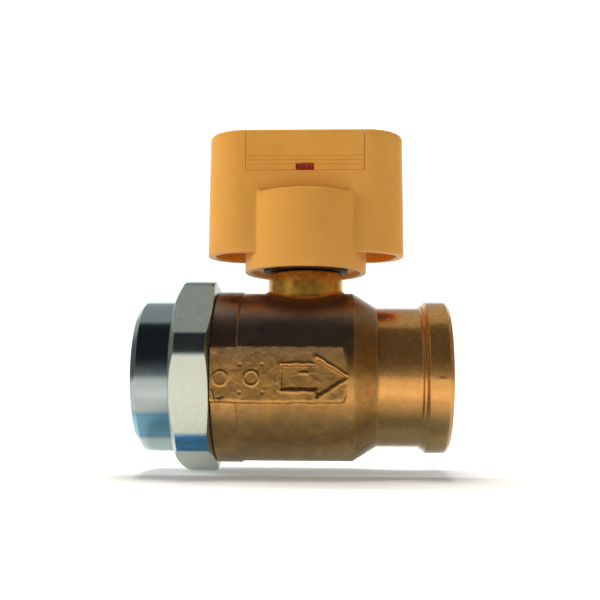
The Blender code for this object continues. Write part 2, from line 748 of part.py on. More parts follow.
def finger_groove_cutters():
    """Three fine grooves along each side of the cover."""
    first_z, pitch, width, depth = COVER_BOTTOM_Z + 1.6 * MM, 1.1 * MM, 0.4 * MM, 0.2 * MM
    reach = COVER_HALF_LENGTH - 0.6 * MM
    return [
        box(
            f"finger_groove_cutter_{i}_{side}",
            (STEM_X - reach, side * cover_side_y(depth), first_z + i * pitch),
            (STEM_X + reach, side * cover_side_y(-MM), first_z + i * pitch + width),
        )
        for i in range(3)
        for side in (-1, 1)
    ]


def make_cover_latch():
    """Red moulded insert that shows in the cover's notch."""
    half_width, edge = LATCH_HALF_WIDTH - FIT_GAP, FIT_GAP / 2
    face_y, thickness = cover_side_y(0.75 * MM), 2.6 * MM
    return box(
        "cover_latch",
        (STEM_X - half_width, -face_y, COVER_BOTTOM_Z + edge),
        (STEM_X + half_width, -face_y + thickness, COVER_BOTTOM_Z + LATCH_HEIGHT - edge),
        "red_plastic",
    )


def make_handle_screw():
    """Pan-head screw down the hub's tunnel into the stem, over its washer."""
    washer_r, washer_bore_r = 4.0 * MM, 2.7 * MM
    washer_bottom_z, washer_top_z = WEB_TOP_Z + FIT_GAP, WEB_TOP_Z + 1.0 * MM
    head_bottom_z, head_top_z = washer_top_z + FIT_GAP, washer_top_z + 2.6 * MM
    washer = rectangle_outline(washer_bore_r, washer_r, washer_bottom_z, washer_top_z)
    turned_about_stem("handle_screw_washer", washer, "spring_steel")

    tip_z, tip_chamfer, head_r, head_flat_r = 29.0 * MM, 0.6 * MM, 4.1 * MM, 3.0 * MM
    outline = [
        (0, tip_z),
        (SCREW_R - tip_chamfer, tip_z),
        (SCREW_R, tip_z + tip_chamfer),
        (SCREW_R, head_bottom_z),
        (head_r, head_bottom_z),
        (head_r, head_bottom_z + 1.5 * MM),
        (head_flat_r, head_top_z),
        (0, head_top_z),
    ]
    screw = turned_about_stem("handle_screw", outline, "zinc_steel")
    recess_depth, wide, narrow = 1.4 * MM, 2.2 * MM, 0.5 * MM
    for i, (half_x, half_y) in enumerate(((narrow, wide), (wide, narrow))):
        recess = box(
            f"screw_recess_cutter_{i}",
            (STEM_X - half_x, -half_y, head_top_z - recess_depth),
            (STEM_X + half_x, half_y, head_top_z + MM),
        )
        cut(screw, recess)
    return screw


# ---- thermal shut-off --------------------------------------------------------------------------------


def make_fuse_holder():
    """Three-armed steel guide in the connector's land, with the plug's rod in its hub."""
    ring_inner_r, ring_outer_r = 13.2 * MM, LAND_R - FIT_GAP
    ring_left_s = LAND_LEFT_S + FIT_GAP
    arm_half_width, arm_half_depth, arm_inner_r = 1.2 * MM, 1.1 * MM, 3.6 * MM
    arm_length = ring_inner_r + MM - arm_inner_r
    outline = rectangle_outline(ring_inner_r, ring_outer_r, ring_left_s, HOLDER_RIGHT_S)
    holder = turned("fuse_holder", outline, "zinc_steel")
    hub = cylinder("holder_hub_blank", HOLDER_HUB_R, HOLDER_LEFT_S, HOLDER_RIGHT_S, "X")
    bore = cylinder("holder_bore_cutter", HOLDER_BORE_R, HOLDER_LEFT_S - MM, HOLDER_RIGHT_S + MM, "X")
    join(holder, hub)
    for i in range(3):
        arm = box(
            f"holder_arm_blank_{i}",
            (-arm_half_depth, -arm_half_width, -arm_length / 2),
            (arm_half_depth, arm_half_width, arm_length / 2),
        )
        angle, middle_r = 2 * math.pi * i / 3, arm_inner_r + arm_length / 2
        arm.rotation_euler = (angle, 0, 0)
        arm.location = (
            STEM_X + (ring_left_s + HOLDER_RIGHT_S) / 2,
            -middle_r * math.sin(angle),
            middle_r * math.cos(angle),
        )
        join(holder, arm)
    cut(holder, bore)
    return holder


def make_retaining_ring():
    """Snap ring in the groove upstream of the holder, with its gap at the bottom."""
    inner_r, outer_r = 14.2 * MM, THREAD_R + 0.4 * MM
    left_s, right_s = LAND_LEFT_S - 1.1 * MM, LAND_LEFT_S - 2 * FIT_GAP
    half_gap = 4.0 * MM
    snap = turned(
        "fuse_retaining_ring", rectangle_outline(inner_r, outer_r, left_s, right_s), "spring_steel"
    )
    gap = box(
        "snap_gap_cutter",
        (STEM_X + left_s - MM, -half_gap, -outer_r - MM),
        (STEM_X + right_s + MM, half_gap, -inner_r / 2),
    )
    cut(snap, gap)
    return snap


def make_fusible_sleeve():
    """Low-melting alloy that holds the plug's rod in the hub until a fire melts it."""
    left_s, right_s = HOLDER_LEFT_S + 2 * FIT_GAP, -28.2 * MM
    outline = rectangle_outline(ROD_R + RUNNING_GAP, HOLDER_BORE_R - FIT_GAP, left_s, right_s)
    return turned("fusible_sleeve", outline, "fusible_alloy", steps=SMALL_ROUND_STEPS)


def make_closing_plug():
    """Steel closing plug, with a 45 degree rim that meets the connector's seat, and its guide rod."""
    rod_chamfer = 0.5 * MM
    outline = [
        (0, PLUG_NOSE_S),
        (PLUG_NOSE_R, PLUG_NOSE_S),
        (PLUG_RIM_R, PLUG_BACK_S + PLUG_RIM_WIDTH),
        (PLUG_RIM_R, PLUG_BACK_S),
        (ROD_R, PLUG_BACK_S),
        (ROD_R, ROD_END_S + rod_chamfer),
        (ROD_R - rod_chamfer, ROD_END_S),
        (0, ROD_END_S),
    ]
    return turned("closing_plug", outline, "zinc_steel")


def make_closing_spring():
    """Conical spring between the holder and the back of the plug, nearly flat while it is held."""
    wire, turns, points_per_turn = 0.8 * MM, 4, 14
    large_r, small_r = 10.4 * MM, 6.2 * MM
    start_s = HOLDER_RIGHT_S + wire / 2 + PANEL_GAP
    end_s = PLUG_BACK_S - wire / 2 - FIT_GAP
    count = turns * points_per_turn
    curve = bpy.data.curves.new("closing_spring", "CURVE")
    curve.dimensions = "3D"
    curve.bevel_depth = wire / 2
    curve.bevel_resolution = 2
    curve.use_fill_caps = True
    spline = curve.splines.new("POLY")
    spline.points.add(count)
    for i, point in enumerate(spline.points):
        share = i / count
        angle = 2 * math.pi * turns * share
        radius = large_r + (small_r - large_r) * share
        along = STEM_X + start_s + (end_s - start_s) * share
        point.co = (along, radius * math.cos(angle), radius * math.sin(angle), 1)
    return add_object("closing_spring", curve, "spring_steel")


def main():
    make_valve_body()
    make_inlet_connector()
    make_body_seal()
    make_seats()
    make_ball()
    make_stem()
    make_stem_seals()
    make_stop_disc()
    make_handle()
    make_handle_cover()
    make_cover_latch()
    make_handle_screw()
    make_fuse_holder()
    make_retaining_ring()
    make_fusible_sleeve()
    make_closing_plug()
    make_closing_spring()


clear_scene()
PIECES = collection_named("ball_valve")
HELPERS = collection_named("helpers")
main()
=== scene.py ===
"""The looks of the gas ball valve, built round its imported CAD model. Metres; +X is the flow, +Z the stem."""

import json
import math

import bmesh
import bpy
import numpy as np
from mathutils import Euler, Matrix, Vector


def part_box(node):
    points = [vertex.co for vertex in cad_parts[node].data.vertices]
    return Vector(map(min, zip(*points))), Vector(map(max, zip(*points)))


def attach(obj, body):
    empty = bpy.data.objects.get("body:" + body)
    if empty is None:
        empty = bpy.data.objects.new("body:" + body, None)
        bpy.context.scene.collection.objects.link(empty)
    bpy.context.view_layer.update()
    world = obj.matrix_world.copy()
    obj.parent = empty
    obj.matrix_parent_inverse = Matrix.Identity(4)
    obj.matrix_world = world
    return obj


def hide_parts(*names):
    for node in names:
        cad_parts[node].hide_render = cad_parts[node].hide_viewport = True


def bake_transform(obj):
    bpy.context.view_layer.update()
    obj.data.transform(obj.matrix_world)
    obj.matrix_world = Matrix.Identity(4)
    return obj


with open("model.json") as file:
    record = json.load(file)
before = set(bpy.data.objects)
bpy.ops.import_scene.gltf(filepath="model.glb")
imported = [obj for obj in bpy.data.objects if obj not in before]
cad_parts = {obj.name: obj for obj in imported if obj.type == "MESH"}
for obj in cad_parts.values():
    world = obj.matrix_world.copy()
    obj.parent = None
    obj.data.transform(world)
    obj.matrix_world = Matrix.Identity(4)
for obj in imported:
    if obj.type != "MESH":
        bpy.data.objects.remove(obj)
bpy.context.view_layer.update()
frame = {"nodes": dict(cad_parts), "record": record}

MM = 0.001

# ---- places taken from the frame ----


def joint_named(name):
    return next(j for j in frame["record"]["behaviour"]["joints"] if j["name"] == name)


def box_of(node):
    """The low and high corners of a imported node, in millimetres."""
    return [np.array(corner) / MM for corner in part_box(node)]


STEM_X = joint_named("handle_turn")["pos_m"][0] / MM  # lengths in this file are in millimetres
BODY_HIGH = box_of("valve_body")[1]
CONNECTOR_LOW, CONNECTOR_HIGH = box_of("inlet_connector")
HANDLE_LOW, HANDLE_HIGH = box_of("handle")
COVER_LOW, COVER_HIGH = box_of("handle_cover")
LATCH_LOW, LATCH_HIGH = box_of("cover_latch")
PLUG_LOW, PLUG_HIGH = box_of("closing_plug")
SPRING_LOW, SPRING_HIGH = box_of("closing_spring")
HOLDER_LOW, HOLDER_HIGH = box_of("fuse_holder")
SNAP_LOW, SNAP_HIGH = box_of("fuse_retaining_ring")
DISC_LOW, DISC_HIGH = box_of("stop_disc")
BALL_LOW, BALL_HIGH = box_of("ball")

# ---- dimensions of the visible surfaces, in millimetres ----

HEX_ACROSS_FLATS = 46.0
HEX_CORNER_R = (CONNECTOR_HIGH[2] - CONNECTOR_LOW[2]) / 2 + 0.15
HEX_TURN = math.radians(12.7)
SOCKET_R = 19.9
THREAD_PITCH, THREAD_MINOR_R, THREAD_MAJOR_R = 2.309, 15.15, 16.62
BARREL_R, COLLAR_R, TUBE_R = 22.2, 22.55, 18.33
THROAT_R = 11.3
BALL_R, BALL_BORE_R = (BALL_HIGH[1] - BALL_LOW[1]) / 2, 11.0
STEM_SQUARE_HALF = 3.62
NECK_R, NECK_TOP_Z = 9.9, 27.4
PAD_Y, PAD_HALF_HEIGHT = 22.48, 6.7
SHARP_ANGLE = 32  # degrees; edges that bend by more than this stay sharp

# ---- mesh tools ----


def link(name, data):
    """A new object in the scene that holds this data."""
    obj = bpy.data.objects.new(name, data)
    bpy.context.scene.collection.objects.link(obj)
    return obj


def add_mesh(name, vertices, faces, smooth_angle=SHARP_ANGLE):
    mesh = bpy.data.meshes.new(name)
    mesh.from_pydata((np.asarray(vertices) * MM).tolist(), [], faces)
    mesh.update()
    obj = link(name, mesh)
    mesh.shade_smooth()
    if smooth_angle:
        sharpen(obj, smooth_angle)
    return obj


def grid_faces(rows, columns, wrap_rows, wrap_columns):
    """Quads between neighbouring points of a grid, numbered row by row."""
    i = np.arange(rows if wrap_rows else rows - 1)
    j = np.arange(columns if wrap_columns else columns - 1)
    ii, jj = np.meshgrid(i, j, indexing="ij")
    i2, j2 = (ii + 1) % rows, (jj + 1) % columns
    quads = np.stack([ii * columns + jj, i2 * columns + jj, i2 * columns + j2, ii * columns + j2], -1)
    return quads.reshape(-1, 4)


def sharpen(obj, degrees=SHARP_ANGLE):
    """Marks the edges that bend by more than this as sharp."""
    obj.data.set_sharp_from_angle(angle=math.radians(degrees))


def edit(obj, change):
    """Changes the object's mesh through bmesh."""
    bm = bmesh.new()
    bm.from_mesh(obj.data)
    change(bm)
    bm.to_mesh(obj.data)
    bm.free()


def weld(obj):
    """Joins the points that coincide, where a profile ends on its axis."""
    edit(obj, lambda bm: bmesh.ops.remove_doubles(bm, verts=bm.verts, dist=1e-6))


def fix_normals(obj):
    edit(obj, lambda bm: bmesh.ops.recalc_face_normals(bm, faces=bm.faces))


def rounded(corners, longest=None):
    """A polyline through (x, r, fillet) corners with each corner rounded to its fillet radius."""
    points = []
    pts = [np.array(c[:2], float) for c in corners]
    for k, corner in enumerate(corners):
        here = pts[k]
        fillet = corner[2] if len(corner) > 2 else 0
        before, after = pts[k - 1], pts[(k + 1) % len(pts)]
        if not fillet or k in (0, len(pts) - 1):
            points.append(here)
            continue
        a, b = before - here, after - here
        la, lb = np.linalg.norm(a), np.linalg.norm(b)
        a, b = a / la, b / lb
        half = math.acos(np.clip(a @ b, -1, 1)) / 2
        reach = min(fillet / math.tan(half), 0.49 * la, 0.49 * lb)
        radius = reach * math.tan(half)
        centre = here + (a + b) / np.linalg.norm(a + b) * radius / math.sin(half)
        start, end = here + a * reach, here + b * reach
        steps = 2 + int(radius > 0.25) + 3 * int(radius > 0.8)
        for s in range(steps + 1):
            mixed = start + (end - start) * s / steps
            out = mixed - centre
            points.append(centre + out / np.linalg.norm(out) * radius)
    if not longest:
        return np.array(points)
    filled = [points[0]]
    for p, q in zip(points, points[1:]):
        count = max(1, math.ceil(np.linalg.norm(q - p) / longest))
        filled += [p + (q - p) * s / count for s in range(1, count + 1)]
    return np.array(filled)


def quarter(count=5):
    """Angles over a quarter turn."""
    return np.linspace(0, math.pi / 2, count)


def around(steps, dense_at=(), dense_half=0.0, dense_step=0.0):
    """Angles round a circle, closer together near the angles in dense_at."""
    if not dense_at:
        return np.linspace(0, 2 * math.pi, steps, endpoint=False)
    angles, angle = [], 0.0
    while angle < 2 * math.pi:
        near = min(abs((angle - d + math.pi) % (2 * math.pi) - math.pi) for d in dense_at)
        angles.append(angle)
        angle += dense_step if near < dense_half else 2 * math.pi / steps
    return np.array(angles)


def turn(name, profile, angles, radius_at=None, axis="X", centre=(0, 0), closed=True,
         smooth_angle=SHARP_ANGLE):
    """Turns a profile of (distance along the axis, radius) points. radius_at(x, r, angle) reshapes it."""
    x = profile[:, 0][:, None] + 0 * angles[None, :]
    r = profile[:, 1][:, None] + 0 * angles[None, :]
    a = angles[None, :] + 0 * x
    if radius_at is not None:
        x, r = radius_at(x, r, a)
    u, v = r * np.cos(a), r * np.sin(a)
    if axis == "X":
        points = np.stack([x, u + centre[0], v + centre[1]], -1)
    else:
        points = np.stack([u + centre[0], v + centre[1], x], -1)
    rows, columns = x.shape
    vertices = points.reshape(-1, 3)
    faces = grid_faces(rows, columns, closed, True).tolist()
    obj = add_mesh(name, vertices, faces, smooth_angle)
    if not closed:
        weld(obj)
    fix_normals(obj)
    return obj


def turn_on_stem(name, profile, steps):
    """Turns a profile of (height, radius) points about the stem's axis."""
    return turn(name, profile, around(steps), axis="Z", centre=(STEM_X, 0), closed=False)


def smooth_step(low, high, value):
    t = np.clip((value - low) / (high - low), 0, 1)
    return t * t * (3 - 2 * t)


def lumps(x, z, size, seed):
    """Smooth random heights between -1 and 1, in bumps of about the given size."""
    table = np.random.default_rng(seed).uniform(-1, 1, (64, 64))
    u, v = x / size, z / size
    i, j = np.floor(u).astype(int), np.floor(v).astype(int)
    fu, fv = smooth_step(0, 1, u - i), smooth_step(0, 1, v - j)

    def corner(di, dj):
        return table[(i + di) % 64, (j + dj) % 64]

    low = corner(0, 0) * (1 - fu) + corner(1, 0) * fu
    high = corner(0, 1) * (1 - fu) + corner(1, 1) * fu
    return low * (1 - fv) + high * fv


def soft_min(a, b, blend):
    h = np.clip(0.5 + 0.5 * (b - a) / blend, 0, 1)
    return b * (1 - h) + a * h - blend * h * (1 - h)


def polygon_distance(x, z, outline):
    """Signed distance to a polygon, negative inside."""
    best = np.full(x.shape, 1e9)
    inside = np.zeros(x.shape, bool)
    for (ax, az), (bx, bz) in zip(outline, outline[1:] + outline[:1]):
        ex, ez = bx - ax, bz - az
        t = np.clip(((x - ax) * ex + (z - az) * ez) / (ex * ex + ez * ez), 0, 1)
        best = np.minimum(best, np.hypot(x - ax - t * ex, z - az - t * ez))
        crosses = (az > z) != (bz > z)
        at = ax + (z - az) / (bz - az + 1e-12) * ex
        inside ^= crosses & (x < at)
    return np.where(inside, -best, best)


def thread(x, angle, depth=THREAD_MAJOR_R - THREAD_MINOR_R):
    """How far a 55 degree pipe thread is cut outwards at a place, from 0 at its crest to depth."""
    phase = (x / THREAD_PITCH - angle / (2 * math.pi)) % 1.0
    ramp = np.abs(phase - 0.5) * 2
    return depth * smooth_step(0.12, 0.88, ramp)


def boolean(obj, other, operation):
    """Cuts, joins or crosses obj with other, which is used up."""
    step = obj.modifiers.new("bool", "BOOLEAN")
    step.operation = operation
    step.object = other
    step.solver = "EXACT"
    graph = bpy.context.evaluated_depsgraph_get()
    mesh = bpy.data.meshes.new_from_object(obj.evaluated_get(graph))
    obj.modifiers.clear()
    old = obj.data
    obj.data = mesh
    mesh.name = obj.name
    bpy.data.meshes.remove(old)
    bpy.data.objects.remove(other)


def cut(obj, other):
    boolean(obj, other, "DIFFERENCE")


def join(obj, other):
    boolean(obj, other, "UNION")


def block(name, low, high, bevel=0.0, segments=2):
    """A box between two corners, its edges bevelled if asked."""
    low, high = np.array(low, float), np.array(high, float)
    bm = bmesh.new()
    bmesh.ops.create_cube(bm, size=1.0)
    bmesh.ops.scale(bm, vec=(high - low) * MM, verts=bm.verts)
    bmesh.ops.translate(bm, vec=(high + low) / 2 * MM, verts=bm.verts)
    if bevel:
        bmesh.ops.bevel(
            bm, geom=bm.edges[:], offset=bevel * MM, segments=segments, profile=0.5, affect="EDGES"
        )
    mesh = bpy.data.meshes.new(name)
    bm.to_mesh(mesh)
    bm.free()
    mesh.shade_smooth()
    obj = link(name, mesh)
    sharpen(obj)
    return obj


# ---- valve body ----

# places along the pipe are measured from the stem's axis
COLLAR_START_S, COLLAR_END_S, BARREL_END_S, TUBE_START_S, TUBE_END_S = -22.57, -16.45, 12.5, 18.7, 29.6
OUTLET_THREAD_S = 21.4
ARROW = [(-5.1, -3.5), (3.5, -3.5), (3.5, -5.1), (11.0, -0.7), (3.5, 3.8), (3.5, 2.2), (-5.1, 2.2)]
NICKS = [(-22.1, -3.9, -21.4, -6.2, 0.34), (-20.4, -5.9, -19.2, -5.5, 0.26)]
ARROW_DEPTH, NICK_HEIGHT = 0.5, 0.26
MARK_Z, DISC_MARK_S, RING_MARK_S, RING_MARK_R = -0.9, -20.0, -12.4, 1.75
DOTS_ASIDE, DOTS_UP = 2.75, 3.3  # four dots round the ring mark
PIMPLES = [(21.4, 4.4, 0.4), (22.0, 5.6, 0.3), (24.1, 4.9, 0.4), (12.9, -3.2, 0.5)]
BURR_S, BURR_Z = 34.2, -1.0


def pad_relief(s, z, top_z):
    """Height over the pad's plane: the sunk arrow, the raised marks and the waves of the casting."""
    rough_cast = 0.022 * lumps(s, z, 1.5, 3) + 0.016 * lumps(s, z, 0.6, 5)
    wobble = 0.22 * lumps(s, z, 1.5, 7) + 0.1 * lumps(s, z, 0.6, 8)
    from_arrow = polygon_distance(s, z, ARROW) + 0.7 * wobble
    relief = -ARROW_DEPTH * (1 - smooth_step(-0.38, 0.1, from_arrow))
    relief += 0.13 * np.exp(-(((from_arrow - 0.45) / 0.36) ** 2))  # metal pushed up round the sunk arrow
    relief += 0.3 * np.exp(-(((s - 0.4) / 0.85) ** 2) - ((z - 0.4) / 0.3) ** 2)  # a lump left inside it
    from_edge = top_z + z + 0.12 * lumps(s, 0 * z, 0.9, 13)
    relief += rough_cast - 0.25 * np.clip(0.85 - from_edge, 0, 0.85)  # the lower edge is bevelled
    for x0, z0, x1, z1, width in NICKS:
        length_squared = (x1 - x0) ** 2 + (z1 - z0) ** 2
        t = np.clip(((s - x0) * (x1 - x0) + (z - z0) * (z1 - z0)) / length_squared, 0, 1)
        off = np.hypot(s - x0 - t * (x1 - x0), z - z0 - t * (z1 - z0))
        relief += NICK_HEIGHT * (1 - smooth_step(0, width, off))
    from_disc = np.hypot(s - DISC_MARK_S, z - MARK_Z)
    relief += 0.09 * (1 - smooth_step(1.8, 2.2, from_disc)) - 0.05 * (1 - smooth_step(1.2, 1.7, from_disc))
    from_ring = np.abs(np.hypot(s - RING_MARK_S, z - MARK_Z) - RING_MARK_R)
    relief += 0.12 * (1 - smooth_step(0.1, 0.45, from_ring))
    for sx in (-DOTS_ASIDE, DOTS_ASIDE):
        for sz in (-DOTS_UP, DOTS_UP):
            relief -= 0.1 * (1 - smooth_step(0.2, 0.55, np.hypot(s - RING_MARK_S - sx, z - MARK_Z - sz)))
    return relief


def body_surface(x, r, angle):
    """The forged details on the body's outside, the same on both its sides, and the thread in its outlet."""
    s = x - STEM_X
    z = r * np.sin(angle)
    outer = np.where(s < BARREL_END_S, r > BARREL_R - 0.7, r > TUBE_R - 0.4)
    facing = np.abs(np.cos(angle))
    # pads
    end_x = 11.3 - 1.2 * (z / PAD_HALF_HEIGHT) ** 2
    top_z = PAD_HALF_HEIGHT + 0.12 * lumps(s, 0 * z, 2.2, 11)
    before_end = 1 - smooth_step(-0.5, 0.3, s - end_x)
    within = (1 - smooth_step(-0.3, 0.3, np.abs(z) - top_z)) * before_end
    flat = PAD_Y / np.maximum(facing, 0.2)
    on_pad = outer & (facing > 0.8)
    shaped = r + within * (flat + pad_relief(s, z, top_z) - r)
    crease = 0.09 * np.exp(-(((z + PAD_HALF_HEIGHT + 0.3) / 0.2) ** 2)) * before_end
    r = np.where(on_pad & (within > 0), shaped, r) - np.where(on_pad, crease, 0)
    # small flaws on the front
    front = outer & (np.cos(angle) < 0)
    for px, pz, pr in PIMPLES:
        bump = 0.055 * np.exp(-((np.hypot(s - px, z - pz) / pr) ** 2))
        r = np.where(front, r + bump, r)
    burr = 0.07 * np.exp(-(((s - BURR_S) / 1.0) ** 2) - ((z - BURR_Z) / 0.6) ** 2)
    r = np.where(front & (s > 31.6), r + burr, r)
    # outlet thread
    ends = BODY_HIGH[0] - STEM_X - 0.9
    in_thread = (r < THREAD_MINOR_R + 0.01) & (s > OUTLET_THREAD_S - 0.01) & (s < ends + 0.6)
    fade = smooth_step(OUTLET_THREAD_S, OUTLET_THREAD_S + 2.0, s)
    r = np.where(in_thread, np.maximum(r, THREAD_MINOR_R + thread(x, angle) * fade), r)
    return x, r


def make_body():
    end = BODY_HIGH[0] - STEM_X
    outer = rounded([
        (COLLAR_START_S, 19.5), (COLLAR_START_S, COLLAR_R, 0.3),
        (COLLAR_END_S, COLLAR_R, 0.15), (COLLAR_END_S + 0.55, BARREL_R, 0.15),
        (BARREL_END_S, BARREL_R, 1.0), (TUBE_START_S, TUBE_R, 0.9), (TUBE_END_S, TUBE_R, 0.3),
        (TUBE_END_S + 0.55, TUBE_R + 0.6, 0.12), (TUBE_END_S + 0.95, TUBE_R + 0.62, 0.12),
        (TUBE_END_S + 1.8, SOCKET_R, 0.35),
        (end - 1.0, SOCKET_R, 0.45), (end, SOCKET_R - 1.0, 0.3), (end, THREAD_MAJOR_R + 0.35, 0.1),
        (end - 1.5, THREAD_MINOR_R),
    ], longest=0.16)
    inner = rounded([
        (end - 1.5, THREAD_MINOR_R), (OUTLET_THREAD_S, THREAD_MINOR_R), (20.9, THREAD_MINOR_R + 0.8, 0.3),
        (19.9, THREAD_MINOR_R + 0.8, 0.3), (19.3, THROAT_R, 0.4), (15.7, THROAT_R), (15.7, 15.6),
        (13.2, 15.6), (13.2, 17.2), (-13.0, 17.2), (-13.0, 19.15), (-20.4, 19.15), (-20.4, 21.0),
        (COLLAR_START_S, 21.0),
    ], longest=0.3)
    profile = np.vstack([outer[1:], inner[1:]])
    profile[:, 0] += STEM_X
    angles = around(150, dense_at=(math.pi, 0.0), dense_half=0.34, dense_step=0.0065)  # dense on the pads
    body = turn("valve_body_casting", profile, angles, body_surface)
    join(body, make_neck())
    cut(body, upright("cavity", 5.12, 6, 32, 48))
    sharpen(body)
    return body


def stem_ring(radius, z, angles):
    """A circle of points about the stem's axis."""
    return np.stack([STEM_X + radius * np.cos(angles), radius * np.sin(angles), 0 * angles + z], -1)


def make_neck():
    """The neck, with its fillet on the barrel."""
    angles = around(96)
    fillet, inner_r, bottom_z = 1.3, 8.0, 18.5
    rings = [stem_ring(0, bottom_z, angles), stem_ring(inner_r, bottom_z, angles)]
    for t in quarter(9):
        radius = NECK_R + fillet * (1 - math.sin(t))
        lift = fillet * (1 - math.cos(t))
        height = np.sqrt(BARREL_R**2 - (radius * np.sin(angles)) ** 2) + lift - 0.03
        rings.append(stem_ring(radius, height, angles))
    for inset, drop in ((0, 0.45), (0.12, 0.15), (0.4, 0), (NECK_R - 3.0, 0), (NECK_R, 0)):
        rings.append(stem_ring(NECK_R - inset, NECK_TOP_Z - drop, angles))
    obj = add_mesh("neck", np.array(rings).reshape(-1, 3),
                   grid_faces(len(rings), len(angles), False, True).tolist())
    weld(obj)
    fix_normals(obj)
    return obj


# ---- inlet connector ----


def hexagon_radius(angle):
    """Distance from the axis to a hexagon's flats; one flat faces -Y and leans down by HEX_TURN."""
    offset = (angle - (math.pi + HEX_TURN) + math.pi / 6) % (math.pi / 3) - math.pi / 6
    return HEX_ACROSS_FLATS / 2 / np.cos(offset)


INLET_THREAD_X, INLET_THREAD_END_X = 1.5, 11.2


def connector_surface(x, r, angle):
    """The hexagon's flats and the thread in the inlet."""
    hexagon = r > SOCKET_R + 0.7
    r = np.where(hexagon, soft_min(r, hexagon_radius(angle), 0.25), r)
    in_thread = (np.abs(r - THREAD_MINOR_R) < 0.01) & (x < INLET_THREAD_END_X + 0.01) & (x > 0.4)
    fade = 1 - smooth_step(INLET_THREAD_END_X - 1.6, INLET_THREAD_END_X, x)
    r = np.where(in_thread, np.maximum(r, THREAD_MINOR_R + thread(x, angle) * fade), r)
    return x, r


def make_connector():
    left, right = STEM_X - 32.9, STEM_X - 22.6
    face_left_r, face_right_r = 22.5, 21.8
    spigot_end = CONNECTOR_HIGH[0]
    profile = rounded([
        (INLET_THREAD_X, THREAD_MINOR_R), (0, THREAD_MAJOR_R + 0.35, 0.1), (0, SOCKET_R - 1.45, 0.25),
        (1.45, SOCKET_R, 0.35), (left, SOCKET_R, 0.12), (left, face_left_r, 0.12),
        (left + (HEX_CORNER_R - face_left_r) * math.tan(math.radians(30)), HEX_CORNER_R, 0.3),
        (right - (HEX_CORNER_R - face_right_r) * math.tan(math.radians(14)), HEX_CORNER_R, 0.4),
        (right, face_right_r, 0.3), (right, 18.9), (spigot_end - 0.4, 18.9), (spigot_end, 18.5),
        (spigot_end, 15.6), (spigot_end - 2.5, 15.6), (spigot_end - 2.5, THROAT_R),
        (26.0, THROAT_R, 0.1), (23.0, THROAT_R + 3.0, 0.1), (23.0, 15.9), (15.4, 15.9),
        (15.4, 15.15), (12.7, 15.15), (12.7, 16.8), (11.4, 16.8),
        (INLET_THREAD_END_X, THREAD_MINOR_R), (INLET_THREAD_X, THREAD_MINOR_R),
    ], longest=0.22)
    return turn("inlet_connector_steel", profile[:-1], around(300), connector_surface, smooth_angle=25)


# ---- handle, cover and latch ----

WING_BOTTOM_Z, HANDLE_TOP_Z = 32.0, HANDLE_HIGH[2]
WING_REACH, WING_HALF_WIDTH = 15.8, 10.4
WING_WALL = 2.0
BOSS_R, BOSS_BOTTOM_Z, BOSS_TOP_Z = 16.15, HANDLE_LOW[2], 47.9
HUB_R, TUNNEL_R = 7.6, 4.4
COVER_HALF_LENGTH = (COVER_HIGH[0] - COVER_LOW[0]) / 2
COVER_BOTTOM_Z = COVER_LOW[2]
GROOVE_Z = (55.25, 56.35, 57.45)


def wing_half_width(z):
    """The handle's sides lean in a little towards the top."""
    share = (z - WING_BOTTOM_Z) / (HANDLE_TOP_Z - WING_BOTTOM_Z)
    return WING_HALF_WIDTH * (1 - 0.035 * share)


def stadium_ring(z, inset, steps=28):
    """The handle's outline at a height, set in by inset: straight sides with half-round ends."""
    radius = wing_half_width(z) - inset
    right = np.linspace(-math.pi / 2, math.pi / 2, steps)
    xs = np.concatenate([WING_REACH + radius * np.cos(right), -WING_REACH - radius * np.cos(right)])
    ys = np.concatenate([radius * np.sin(right), -radius * np.sin(right)])
    return np.stack([STEM_X + xs, ys, 0 * xs + z], -1)


def loft(name, rings, smooth_angle=SHARP_ANGLE):
    """A closed solid through rings of equal counts, with a flat cap on each end."""
    rings = np.array(rings)
    rows, columns = rings.shape[:2]
    faces = grid_faces(rows, columns, False, True).tolist()
    faces.append(list(range(columns)))
    faces.append(list(range(rows * columns - 1, (rows - 1) * columns - 1, -1)))
    obj = add_mesh(name, rings.reshape(-1, 3), faces, 0)
    fix_normals(obj)
    sharpen(obj, smooth_angle)
    return obj


def make_wings():
    edge, lip = 0.8, 0.4
    ceiling = HANDLE_TOP_Z - 3.0
    steps = [(HANDLE_TOP_Z - edge * (1 - math.cos(t)), edge * (1 - math.sin(t))) for t in quarter()]
    steps += [(z, 0) for z in np.linspace(HANDLE_TOP_Z - edge - 1, WING_BOTTOM_Z + lip + 1, 9)]
    steps += [(WING_BOTTOM_Z + lip * (1 - math.sin(t)), lip * (1 - math.cos(t))) for t in quarter()]
    steps += [
        (WING_BOTTOM_Z + lip * (1 - math.cos(t)), WING_WALL - lip * (1 - math.sin(t))) for t in quarter()
    ]
    steps += [(z, WING_WALL) for z in np.linspace(WING_BOTTOM_Z + lip + 1, ceiling - 1, 9)]
    steps += [(ceiling, WING_WALL)]
    return loft("handle_moulding", [stadium_ring(z, inset) for z, inset in steps])


def make_boss():
    wall = 1.5
    profile = rounded([
        (BOSS_TOP_Z, 0), (BOSS_TOP_Z, BOSS_R, 0.8), (BOSS_BOTTOM_Z, BOSS_R, 0.35),
        (BOSS_BOTTOM_Z, BOSS_R - wall, 0.35), (29.1, BOSS_R - wall, 0.3), (29.1, 11.7, 0.3),
        (BOSS_TOP_Z - 2.0, 11.7, 0.5), (BOSS_TOP_Z - 2.0, 0),
    ], longest=3.0)
    return turn_on_stem("boss", profile, 128)


